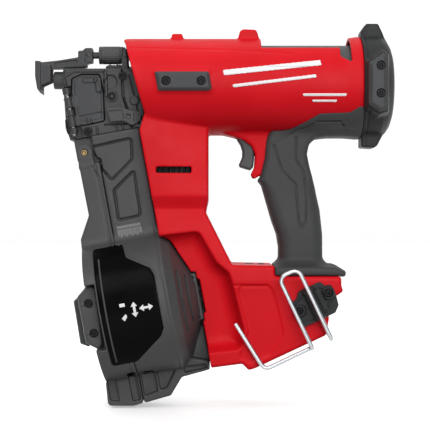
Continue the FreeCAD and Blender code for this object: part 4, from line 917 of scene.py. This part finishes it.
def window_rib():
    x, y, z, _ = space = Space((11, -64, -250), (16, -30, -155), 0.4)
    around = np.hypot(y, z - COIL_Z)
    rib = prism(both(np.abs(x - 13.3) - 0.75, band(z, -246, -159)), np.abs(around - 61.4) - 0.5, 0.3)
    groove = np.abs(x - 13.3) - 0.15
    rib = engrave(both(rib, y + 30), groove, 0.2, 0.1)
    solid("window_rib", space, rib, PAD_RUBBER, frame_at=TILT)


def arrow(x, z, centre, length, upright):
    """A double-headed arrow, as a flat outline."""
    half = length / 2
    points = [(0, half), (3.0, half - 4.0), (1.1, half - 4.0), (1.1, 4.0 - half), (3.0, 4.0 - half),
            (0, -half), (-3.0, 4.0 - half), (-1.1, 4.0 - half), (-1.1, half - 4.0), (-3.0, half - 4.0)]
    if not upright:
        points = [(v, u) for u, v in points]
    return outline(x, z, [(centre[0] + u, centre[1] + v) for u, v in points])


def window_marks():
    x, y, z, _ = space = Space((19, -63.5, -220), (54, -57, -194), 0.35)
    marks = [arrow(x, z, (36.8, -204.6), 13, True), arrow(x, z, (46.6, -204.4), 12, False),
            prism(both(np.abs(x - 27.4) - 2.4, np.abs(z + 199.4) - 1.5), x * 0 - 1, 0.6),
            outline(x, z, [(25, -210), (29.5, -206.5), (30, -209.5), (27.4, -213)], 0.8)]
    flat = either(*marks)
    around = np.hypot(y, z - COIL_Z)
    ink = both(flat, np.abs(around - 61.2) - 0.25)
    solid("window_marks", space, ink, WHITE_INK, frame_at=TILT)


def badge():
    """A plain ribbed plate where the tool carries a model badge; it bears no lettering."""
    for side in (-1, 1):
        low, high = sorted((side * 15.0, side * 18.5))
        x, _, z, _ = space = Space((29, low, -151), (54, high, -133), 0.4)
        depth = side * space.y
        flat = outline(x, z, BADGE_SIDE, 1.0)
        plate = prism(flat, np.abs(depth - 16.3) - 0.8, 0.4)
        plate = join(plate, both(flat + 0.5, -137.6 - z, depth - 17.7), 0.3)
        for index in range(4):
            start = 33.6 + 4.6 * index
            bar = line(x, z, [(start, -147), (start + 2, -139.6)]) - 0.9
            plate = join(plate, both(bar, np.abs(depth - 17) - 0.8), 0.3)
        solid("rib_badge_%d" % (side + 2), space, plate, BADGE, frame_at=TILT)


def pivot_rings():
    for side, tag in ((-1, "left"), (1, "right")):
        low, high = sorted((side * 8.0, side * 16.45))
        space = Space((11, low - 0.7, -72), (20.2, high + 0.7, -62.8), 0.35)
        ring = circle(space.x, space.z, PIVOT, 2.5)
        pin = prism(ring, np.abs(space.y - (low + high) / 2) - (high - low) / 2, 0.4)
        pin = carve(pin, both(circle(space.x, space.z, PIVOT, 1.6), 13.0 - side * space.y), 0.2)
        solid("canister_pivot_" + tag, space, pin, BRASS, "housing",
                ["canister_pivots"] if side < 0 else (), "pin_brass", TILT)


def pawl_cover():
    x, y, z, _ = space = Space((27, 11.5, -111), (55, 17, -67), 0.5)
    flat = both(band(x, 28, 54), band(z, -110, -68))
    cover = prism(flat, np.abs(y - 14.28) - 1.6, 0.7)
    cover = engrave(cover, both(np.abs(flat + 3) - 0.5, 14 - y), 0.5, 0.3)
    for at in range(4):
        rib = both(np.abs(z + 100 - 7 * at) - 1.1, np.abs(x - 41) - 7)
        cover = raise_up(cover, both(rib, 14 - y), 0.0, 0.3)
        cover = engrave(cover, both(rib, 14 - y), 0.7, 0.4)
    solid("pawl_cover", space, cover, TRIM_NYLON, frame_at=TILT)


magazine_body()
canister_door()
door_pad()
window()
window_rib()
window_marks()
badge()
pivot_rings()
pawl_cover()
small_screw = screw_mesh("door_seat_screw", 3.0, 1.6)
place_screws("door_seat_screw", small_screw, [(tilt_point(-1.2, side * 43.0, sz),
        (0, side, 0)) for side in (-1, 1) for sz in SEAT_SCREWS], "canister_door", (), None)
cover_screw = screw_mesh("rear_cover_screw", 1.7, 1.0)
place_screws("rear_cover_screw", cover_screw, [(tilt_point(sx, side * sy, sz),
        (0, side, 0)) for side in (-1, 1) for sx, sy, sz in ((86.8, 19.9, -189), (86.8, 19.9, -223))],
        "housing", (), None)


# ---- nose
NOSE_SIDE = [(8.7, 9), (65.6, 9), (64, -17.5), (74, -42.9), (22.2, -58), (17, -59), (11.3, -42.5),
        (8.7, -7.8)]
NAIL_SLOT = [(12, 5.4), (58.5, 5.4), (59.5, -12), (68.6, -46), (21.6, -58), (15.4, -34), (12, -8)]
BRACKET_SIDE = [(58, 9), (66.2, 9), (71, 4), (79, -28), (77.5, -41), (73, -43.2), (62, -20)]
DOOR_SIDE = [(17, 0), (25, 3.4), (40, 3.4), (43.5, -10), (44.5, -36), (26, -40), (21, -36), (16.5, -12)]
DOOR_RIB = [(37, 1), (41.5, 1), (42.8, -11.5), (38, -11.5)]
LATCH_SIDE = [(46, -26), (58, -24.5), (66, -27), (76.6, -29), (76.2, -36.5), (69, -40.5), (61, -36.5),
        (50, -37.5)]
HINGE_AT = (10.0, -12.4)


def knuckle(space, low_z, length, radius):
    """A hinge knuckle about the tilted hinge axis, with a bevelled end."""
    tx, tz = tilted(space)
    across = np.hypot(tx - HINGE_AT[0], space.y - HINGE_AT[1])
    ends = np.abs(tz - low_z - length / 2) - length / 2
    return prism(across - radius, ends, 0.5)


def nosepiece():
    x, y, z, out = space = Space((-1, -17, -60), (81, 17, 12), 0.5)
    tx, tz = tilted(space)
    block = slab(space, NOSE_SIDE, 1.5, 14, 0.9)
    bracket = slab(space, BRACKET_SIDE, 2.0, 14.3, 0.9)
    body = join(block, bracket, 1.0)
    snout = prism(np.hypot(y, z) - 7.6, np.abs(x - 6) - 6, 0.6)
    body = join(body, snout, 0.8)
    left = both(y + 4, -40 - y)
    skin_deep = 10.5 - out
    for mark, width, depth in (([(59.8, 7.5), (60.6, -14), (68.5, -41)], 0.9, 2.6),
            ([(66.3, 3), (72.5, -21), (74.5, -38)], 0.5, 1.2)):
        body = engrave(body, both(line(x, z, mark) - width, skin_deep), depth, 0.5)
    for radius, at in ((3.9, (70.6, -18.6)), (2.6, (74.2, -33))):
        body = raise_up(body, circle(x, z, at, radius), 0.9, 0.5)
    body = engrave(body, both(circle(x, z, (49.6, -2.6), 6.0), 10 - out), 2.8, 0.6)
    lug = circle(x, z, (51.2, -14.8), 5.0)
    body = raise_up(body, both(lug, left), 0.8, 0.6)
    post = line(x, z, [(45.6, 6), (46.4, -14)]) - 1.2
    body = raise_up(body, both(post, left), 1.4, 0.6)
    shelf = line(x, z, [(11.5, 2.5), (18.5, 6.8), (44, 6.8)]) - 1.0
    body = raise_up(body, both(shelf, left), 1.2, 0.6)
    for start, end in (((33, -41.5), (33.6, -47)), ((38.5, -41), (39.2, -46.5)), ((55, -39), (56, -43)),
            ((60, -38.5), (61, -42.5))):
        body = raise_up(body, both(line(x, z, [start, end]) - 0.8, left), 1.1, 0.5)
    body = engrave(body, line(x, z, [(45, -39.5), (64, -38)]) - 0.6, 1.5, 0.4)
    right = both(4 - y, -z - 54)
    for panel in ([(14, 2), (44, 3), (45, -12), (18, -14)], [(18, -19), (46, -17), (50, -38), (24, -44)]):
        body = engrave(body, both(outline(x, z, panel, 2.5), right), 1.2, 0.8)
    foot = tz + 54.4
    hollows = [both(outline(x, z, NAIL_SLOT), out - 5.6), both(np.hypot(y, z) - 5.25, x - 20),
            both(outline(x, z, DOOR_SIDE, 2) - 0.7, y + 6.05), both(band(tx, 4.5, 17), band(tz, -54, -9),
            y + 8), both(band(x, 50, 82), out - 5.6, band(z, -3.4, 3.4)), foot]
    body = carve(body, either(*hollows), 0.4)
    for low_z in (-50, -34.3, -15.5):
        web = both(band(tx, 8, 11.8), band(y, -12, -6.5), band(tz, low_z, low_z + 5.4))
        body = join(body, join(knuckle(space, low_z, 5.4, 3.6), web, 0.6), 0.3)
    pin_hole = np.hypot(tx - HINGE_AT[0], y - HINGE_AT[1]) - 1.8
    body = carve(body, pin_hole)
    solid("nosepiece", space, body, NOSE_STEEL, keep=0.7)


def nose_door():
    x, y, z, _ = space = Space((2, -18, -48), (48, -5, 6), 0.42)
    tx, tz = tilted(space)
    flat = outline(x, z, DOOR_SIDE, 2)
    plate = prism(flat, np.abs(y + 10.15) - 3.85, 0.8)
    rib = prism(outline(x, z, DOOR_RIB, 1), np.abs(y + 15) - 1.9, 0.7)
    body = join(plate, rib, 0.6)
    body = engrave(body, both(np.abs(flat + 2.2) - 0.35, y + 12), 0.5, 0.3)
    bar = line(x, z, [(28, -1.4), (36.5, -1.4)]) - 1.9
    body = raise_up(body, both(bar, y + 12), 1.2, 0.6)
    step = line(x, z, [(22, -32.5), (43, -28.5)]) - 0.5
    body = engrave(body, both(step, y + 12), 0.7, 0.5)
    for at in (29.5, 33.5):
        tab = line(x, z, [(at, -33.8), (at + 0.4, -37)]) - 0.7
        body = raise_up(body, both(tab, y + 12), 0.8, 0.4)
    for low_z in (-43.6, -27.4):
        web = both(band(tx, 10, 17), band(y, -14, -11), band(tz, low_z, low_z + 9))
        body = join(body, join(knuckle(space, low_z, 9, 3.6), web, 0.8), 0.5)
        for end in (low_z + 0.9, low_z + 8.1):
            body = join(body, knuckle(space, end - 0.7, 1.4, 3.95), 0.2)
    body = carve(body, np.hypot(tx - HINGE_AT[0], y - HINGE_AT[1]) - 1.86)
    solid("nose_door", space, body, NOSE_STEEL, "nose_door", keep=0.8)


def hinge_pin():
    """The door's hinge pin, with a groove for its clip, in the tilted frame."""
    space = Space((6.5, -16, -54), (13.5, -9, -12), 0.3)
    across = np.hypot(space.x - HINGE_AT[0], space.y - HINGE_AT[1])
    pin = prism(across - 1.78, np.abs(space.z + 33) - 18.9, 0.4)
    for at in (-50.9, -47.5, -16.2):
        pin = engrave(pin, np.abs(space.z - at) - 0.35, 0.3, 0.1)
    solid("nose_hinge_pin", space, pin, BRIGHT_STEEL, frame_at=TILT)


def latch():
    low, high = box_mm("nose_latch")
    x, y, z, _ = space = Space(low - Vector((1, 1, 1)), high + Vector((1, 1, 1)), 0.4)
    middle = (low.y + high.y) / 2
    flat = outline(x, z, LATCH_SIDE, 2)
    body = prism(flat, np.abs(y - middle) - (high.y - low.y) / 2, 0.9)
    face = y - low.y - 1.6
    body = engrave(body, both(outline(x, z, [(48, -28), (60, -27), (62, -34.5), (51, -35.3)], 1.5), face),
            0.8, 0.5)
    for at in (70.5, 72.7, 74.9):
        rib = line(x, z, [(at, -30), (at, -37)]) - 0.45
        body = engrave(body, both(rib, face), 0.6, 0.3)
    body = raise_up(body, both(circle(x, z, (65.5, -32.5), 3.3), face), 0.0, 0.3)
    body = carve(body, circle(x, z, (65.5, -32.5), 2.05))
    solid("nose_latch", space, body, BLACK_NYLON, "nose_latch")


# ---- contact arm, depth wheel
ARM_SIDE = [(-15.2, 15.9), (-10.4, 15.3), (4.3, 16.9), (21.2, 19.6), (21.2, 25.1), (25.6, 25.6),
        (26.9, 27.7), (33.8, 27.7), (33.8, 15.2), (29, 14.3), (28.6, 11.3), (4, 9.8), (-10.4, 9.8),
        (-15.2, 9.8)]
FOOT_SIDE = [(-15.2, 15.9), (-10.4, 15.6), (-10.4, -6), (-10.2, -12.6), (-13.4, -8), (-15.2, 3)]
CHEEK = [(-12, 14), (-2, 13), (-2, -1.2), (-9, -4.3), (-12, -6)]
ROD_Z = 21.8


def contact_arm():
    x, y, z, out = space = Space((-17, -13, -14), (64, 13, 29), 0.45)
    bar = slab(space, ARM_SIDE, 1.0, 6, 0.7)
    plate = slab(space, FOOT_SIDE, 0.4, 12, 0.4)
    cheeks = prism(outline(x, z, CHEEK, 0.6), np.abs(out - 9.7) - 1.3, 0.4)
    bridge = prism(both(band(x, -12, -2), band(z, 9.9, 13)), out - 11, 0.5)
    rod = prism(np.hypot(y, z - ROD_Z) - 2.98, np.abs(x - 48) - 15, 0.4)
    body = join(join(join(bar, plate, 0.8), join(cheeks, bridge, 0.6), 0.8), rod, 0.5)
    body = engrave(body, both(line(x, z, [(2, 13.6), (19, 15.8)]) - 1.2, 3 - out), 0.8, 0.5)
    body = engrave(body, both(np.abs(x - 27.2) - 0.35, 14 - z), 0.6, 0.3)
    body = raise_up(body, both(circle(x, z, (30.4, 21.5), 2.6), 3 - out), 0.0, 0.3)
    body = engrave(body, both(np.abs(circle(x, z, (30.4, 21.5), 2.2)) - 0.3, 3 - out), 0.5, 0.2)
    for index in range(5):
        tooth = both(np.abs(y - 4.4 * (index - 2)) - 0.9, z + 5)
        body = carve(body, both(tooth, -8.5 + 0 * x - z), 0.3)
    for index in range(8):
        thread = np.abs(x - 35.0 - 0.9 * index) - 0.2
        body = engrave(body, both(thread, x - 41), 0.2, 0.15)
    body = carve(body, both(np.hypot(y, z) - 6, x + 10))
    body = both(body, -15.15 - x)
    solid("contact_arm", space, body, NOSE_STEEL, "contact_arm", keep=0.8)


def depth_wheel():
    space = Space((38, -9, ROD_Z - 9), (61.4, 9, ROD_Z + 9), 0.35)
    x, y, z = space.x, space.y, space.z - ROD_Z
    across = np.hypot(y, z)
    turn = np.arctan2(z, y)
    grip_zone = ramp(x, 42.5, 43.2) * ramp(-x, -56.8, -56.1)
    radius = 7.75 - 0.3 * grip_zone * (0.5 + 0.5 * np.cos(24 * turn))
    wheel = prism(across - radius, np.abs(x - 49.5) - 10.4, 0.8)
    for at in (41.4, 58.0):
        wheel = engrave(wheel, np.abs(x - at) - 0.4, 0.45, 0.2)
    wheel = carve(wheel, across - 3.25)
    wheel = carve(wheel, both(across - 6.35, 49.4 - x))
    solid("depth_wheel", space, wheel, BLACK_NYLON, "depth_wheel", keep=0.7)


def linkage_bracket():
    """The clamp under the depth wheel and the two straps that tie the nose to the housing."""
    x, _, z, out = space = Space((43, -13, -8), (67, 13, 30), 0.5)
    clamp = slab(space, [(45, 8), (45, 11.5), (48, 13.4), (58.4, 13.4), (60, 8)], 0.8, 6, 0.6)
    clamp = carve(clamp, both(band(x, 50, 54), 13.0 + 0 * out - z), 0.2)
    strap = prism(outline(x, z, [(59.4, -6), (65.4, -6), (64.6, 12), (63.4, 25), (62.4, 27.6), (60.6, 27.6),
            (59.2, 14)], 1.0), np.abs(out - 10.7) - 1.4, 0.5)
    body = join(clamp, strap)
    ribs = both(np.abs((x - 46) % 3.0 - 1.5) - 0.5, x - 58, 4 - out)
    body = engrave(body, both(ribs, 9 - z), 0.6, 0.3)
    for height in (20.5, 2.0):
        body = raise_up(body, both(circle(x, z, (62.2, height), 1.5), 11 - out), 0.5, 0.2)
    solid("linkage_bracket", space, body, NOSE_STEEL)


nosepiece()
linkage_bracket()
nose_door()
hinge_pin()
latch()
contact_arm()
depth_wheel()
nose_screw = screw_mesh("nose_bolt", 3.6, 2.0)
place_screws("nose_bolt", nose_screw, [((px, -14.0, pz), (0, -1, 0)) for px,
        pz in ((51.2, -14.8), (60.5, 2.5), (30.5, -45.3))], "housing", ["nose_bolts"])


# ---- foot: bracket and buttons
HOOK_TILT = math.radians(25.5)
HOOK_AT = Vector((222.5, -42.6, -191.0))
HOOK = Matrix.Translation(HOOK_AT) @ Matrix.Rotation(-HOOK_TILT, 4, "Y")
BRACKET_FLAT = [(-19, -10.5), (-15, -14.5), (13, -14.6), (18.2, -10), (19.6, -2.8), (19.6, 8.8), (15, 9.2),
        (12.5, 14.6), (-7.5, 14.8), (-12, 9.8), (-18.6, 8.6)]


def hook_bracket():
    """The cast saddle that carries the hook's pivot; the hook's own frame has Y out of the foot."""
    x, y, z, _ = space = Space((-20.5, -6, -16), (21.5, 5.5, 16), 0.4)
    base = prism(outline(x, z, BRACKET_FLAT, 2.5), np.abs(y - 3.25) - 1.25, 0.7)
    boss = prism(np.hypot(x, y) - 4.4, np.abs(z) - 14, 1.2)
    body = join(base, boss, 3.0)
    for centre, radius, low, high in (((14.6, 3), 5.3, -1.2, 4.5), ((-13.5, 0), 4.9, -1.2, 4.5)):
        lug = prism(circle(x, z, centre, radius), np.abs(y - (low + high) / 2) - (high - low) / 2, 0.8)
        body = join(body, lug, 2.2)
    for start, end in (((-14, -9), (-2, -12)), ((4, 12), (12, 9.5)), ((4, -11), (13, -5)),
            ((-14, 7), (-4, 12))):
        rib = line(x, z, [start, end]) - 0.9
        body = raise_up(body, both(rib, y - 3), 0.7, 0.6)
    body = both(body, y - 4.5)
    body = engrave(body, both(np.abs(z) - 0.5, y + 2), 0.6, 0.3)
    for centre, radius in (((14.6, 3), 3.6), ((-13.5, 0), 3.1)):
        body = carve(body, both(circle(x, z, centre, radius), y - 4.6), 0.3)
    body = carve(body, np.hypot(x, y) - 2.15)
    body = carve(body, np.hypot(x - 8.6, y) - 2.15, 0.3)
    solid("hook_bracket", space, body, TRIM_NYLON, frame_at=HOOK)


def wire_hook():
    """The bent wire: up through its pivot, over the side of the foot and under it."""
    route = [(0, 0, 14), (0, 0, -32), (0, -8.6, -32), (0, -8.6, 33), (-17.6, -8.6, 33), (-17.6, -8.6, -32),
            (-17.6, -0.4, -32), (-61.2, -0.4, -32), (-66.5, -0.4, 13.5)]
    bent = rounded(route, 7.0, 8)[9:-9]
    curve = bpy.data.curves.new("wire_path", "CURVE")
    curve.dimensions = "3D"
    curve.bevel_depth = 1.75
    curve.bevel_resolution = 5
    curve.use_fill_caps = True
    spline = curve.splines.new("POLY")
    centres = [route[0]] + [tuple(point) for point in bent] + [route[-1]]
    spline.points.add(len(centres) - 1)
    for point, centre in zip(spline.points, centres):
        point.co = (*centre, 1)
    path = bpy.data.objects.new("wire_path", curve)
    mesh = bpy.data.meshes.new_from_object(path)
    bpy.data.objects.remove(path)
    mesh.transform(Matrix.Scale(MM, 4) @ HOOK)
    mesh.materials.clear()
    mesh.materials.append(ZINC)
    mesh.polygons.foreach_set("use_smooth", [True] * len(mesh.polygons))
    piece = bpy.data.objects.new("wire_hook_bent", mesh)
    bpy.context.scene.collection.objects.link(piece)
    attach(piece, "wire_hook", ["wire_hook"], "zinc_wire")


def socket_screws():
    screws = []
    for centre, radius in (((14.6, 3), 3.45), ((-13.5, 0), 2.95)):
        spot = HOOK @ Vector((centre[0], 3.0, centre[1]))
        screws.append((spot, radius))
    for index, (spot, radius) in enumerate(screws):
        mesh = screw_mesh("bracket_screw_%d" % index, radius, 3.4)
        place_screws("bracket_screw_%d" % (index + 1), mesh, [(spot, (0, -1, 0))], "housing",
                ["bracket_screws"] if index == 0 else ())


def foot_buttons():
    for node, tag in (("mode_button", 3), ("gauge_button", 1)):
        low, high = box_mm(node)
        x, y, z, _ = space = Space(low - Vector((1, 1, 1)), high + Vector((1, 1, 1)), 0.25)
        flat = both(np.abs(x - (low.x + high.x) / 2) - (high.x - low.x) / 2,
                np.abs(y) - (high.y - low.y) / 2)
        cap = prism(flat, np.abs(z - (low.z + high.z) / 2) - (high.z - low.z) / 2, 0.7)
        dish = np.hypot(np.hypot(x - (low.x + high.x) / 2, y), z - high.z - 7.3) - 7.7
        cap = carve(cap, dish, 0.2)
        for index in range(tag):
            mark = np.abs(y - 1.4 * (index - (tag - 1) / 2)) - 0.3
            cap = engrave(cap, both(mark, high.z - 1 - z), 0.3, 0.1)
        solid(node, space, cap, BLACK_NYLON, node)


def battery_rails():
    """The rails that a battery slides onto, with a latch notch and contact pocket."""
    foot = Matrix.Translation((200, 0, -232.6)) @ Matrix.Rotation(-FOOT_TILT, 4, "Y")
    x, _, z, out = space = Space((-34.5, -29.5, 0.8), (31.5, 29.5, 14.2), 0.6)
    along = both(-33 - x, x - 30)
    plate = prism(both(along, out - 28), np.abs(z - 10.95) - 1.95, 0.6)
    rail = prism(both(along, band(out, 24.5, 28)), np.abs(z - 6.5) - 4.5, 0.6)
    lip = prism(both(along, band(out, 20, 25)), np.abs(z - 3) - 1.0, 0.5)
    body = join(join(plate, rail, 0.8), lip, 0.6)
    for at in (-18, -6, 6, 18):
        rib = both(np.abs(x - at) - 0.7, out - 18, z - 9.4)
        body = join(body, both(rib, 8.2 - z), 0.5)
    notch = both(band(x, 14, 22), out - 9, z - 10.4)
    body = carve(body, notch, 0.5)
    body = join(body, both(band(x, -32, -11.5), out - 15.5, band(z, 8.4, 9.4)), 0.4)
    solid("battery_rails", space, body, TRIM_NYLON, frame_at=foot)


# ---- plain marks on the barrel
def barrel_marks():
    """Plain white bars wrapped on the barrel's left side."""
    for index, bar in enumerate(([(146, 4.6), (228, 13.4), (229, 8.6), (147, -0.2)],
            [(154, -7.6), (224, 1.0), (224.8, -1.8), (154.8, -10.4)],
            [(213, -15), (250, -15), (250, -17.2), (213, -17.2)], [(221, -20), (242, -20), (242, -22.0),
            (221, -22.0)])):
        xs, zs = zip(*bar)
        x, _, z, _ = space = Space((min(xs) - 1, -43.5, min(zs) - 1), (max(xs) + 1, -30, max(zs) + 1), 0.5)
        flat = outline(x, z, bar, 0.8)
        around = np.hypot(space.y, z - BARREL_Z)
        ink = both(flat, np.abs(around - BARREL_R) - 0.3)
        solid("plain_bar_%d" % (index + 1), space, ink, WHITE_INK)


def vent_vanes():
    """Vanes behind the leg's cooling slot, near-black as painted shade for the inside of the slot."""
    for side in (-1, 1):
        low, high = sorted((side * 18.0, side * 22.5))
        x, y, z, _ = space = Space((87, low - 1, -85), (123, high + 1, -72), 0.5)
        plate = prism(both(band(x, 88.5, 121.5), band(z, -84, -73)), np.abs(side * y - 19) - 0.8, 0.4)
        for index in range(7):
            vane = np.abs(x - 91 - 4.6 * index + 0.4 * (side * y - 20)) - 0.5
            plate = join(plate, both(vane, band(z, -83, -74), band(side * y, 19, 22.2)), 0.3)
        solid("vent_vanes_%d" % (side + 2), space, plate, PAINTED_SLOT_SHADE)


hook_bracket()
wire_hook()
socket_screws()
foot_buttons()
battery_rails()
barrel_marks()
vent_vanes()


# ---- carried-over nodes
NODE_MATERIALS = {
    "red_shell": RED, "black_overmould": GREY_RUBBER, "black_plastic": BLACK_NYLON,
    "black_steel": NOSE_STEEL, "dark_screw": SCREW_STEEL, "bright_steel": BRIGHT_STEEL,
    "zinc_wire": ZINC, "cast_aluminium": ALUMINIUM, "smoke_window": WINDOW, "elastomer": BUFF,
    "motor_windings": COPPER, "pin_brass": BRASS, "board_green": BOARD,
}
for name, node in frame["nodes"].items():
    node.data.materials.clear()
    node.data.materials.append(NODE_MATERIALS[SLOTS[name]])


# ---- stage, light and camera
def floor():
    """A pale floor just under the part, that glows more behind it."""
    material, tree, shader = principled("pale_floor", (0.93, 0.93, 0.93), 0.6)
    clouds = noise(tree, object_points(tree), 3, 3)
    tone = mix_colour(tree, clouds, (0.92, 0.92, 0.92), (0.95, 0.95, 0.95))
    reach = add(tree, "SeparateXYZ", {"Vector": object_points(tree)}, "Y")
    backlit = mix_colour(tree, span(tree, reach, 0.6, 1, -0.1, 0.1), (0, 0, 0), (1, 1, 1))
    tree.links.new(tone, shader.inputs["Base Color"])
    tree.links.new(backlit, shader.inputs["Emission Color"])
    shader.inputs["Emission Strength"].default_value = 0.5
    mesh = bpy.data.meshes.new("floor")
    half = 6.0
    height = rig.bounds()[0][2] - 0.002
    corners = [(-half, -half), (half, -half), (half, half), (-half, half)]
    mesh.from_pydata([(x, y, height) for x, y in corners], [], [(0, 1, 2, 3)])
    mesh.materials.append(material)
    floor = bpy.data.objects.new("floor", mesh)
    floor.visible_diffuse = False
    bpy.context.scene.collection.objects.link(floor)
    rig.stage(floor)


def world():
    """A white room, darker behind the camera and below the horizon."""
    room = bpy.data.worlds.new("studio")
    room.use_nodes = True
    tree = room.node_tree
    direction = add(tree, "TexCoord", {}, "Generated")
    around = add(tree, "SeparateXYZ", {"Vector": direction}, "Y")
    above = add(tree, "SeparateXYZ", {"Vector": direction}, "Z")
    glow = multiply(tree, span(tree, around, 0.34, 1.06, -0.2, 0.8),
                    span(tree, above, 0.5, 1.0, -0.5, 0.05))
    tint = add(tree, "CombineColor", {"Red": glow, "Green": glow, "Blue": glow}, "Color")
    tree.links.new(tint, tree.nodes["Background"].inputs["Color"])
    tree.nodes["Background"].inputs["Strength"].default_value = 1.0
    bpy.context.scene.world = room


def area_light(name, place, target, size, power):
    data = bpy.data.lights.new(name, "AREA")
    data.shape = "RECTANGLE"
    data.size, data.size_y = size
    data.energy = power
    lamp = bpy.data.objects.new(name, data)
    lamp.location = place
    lamp.rotation_euler = (Vector(target) - Vector(place)).to_track_quat("-Z", "Y").to_euler()
    bpy.context.scene.collection.objects.link(lamp)
    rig.stage(lamp)


def camera():
    low, high = cad_low, cad_high
    target = Vector(((low.x + high.x) / 2 + 0.0002, 0, (low.z + high.z) / 2 - 0.0008))
    data = bpy.data.cameras.new("camera")
    data.lens = 106
    data.sensor_width = 36
    data.clip_end = 50
    view = bpy.data.objects.new("camera", data)
    view.location = target + Vector((0, -1.1, 0))
    view.rotation_euler = (target - view.location).to_track_quat("-Z", "Y").to_euler()
    bpy.context.scene.collection.objects.link(view)
    bpy.context.scene.camera = view


bpy.context.scene.view_settings.view_transform = "Standard"
floor()
world()
middle = (0.14, 0, -0.11)
area_light("key", (-0.5, -1.1, 1.1), middle, (1.2, 0.8), 11)
area_light("fill", (0.5, -1.5, 0.35), middle, (1.0, 1.0), 14)
area_light("top", (0.15, 0.0, 1.3), middle, (1.4, 0.6), 3)
camera()
json.dump({"cad": [list(cad_low), list(cad_high)],
           "visual": [list(corner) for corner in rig.bounds()]}, open("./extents.json", "w"))
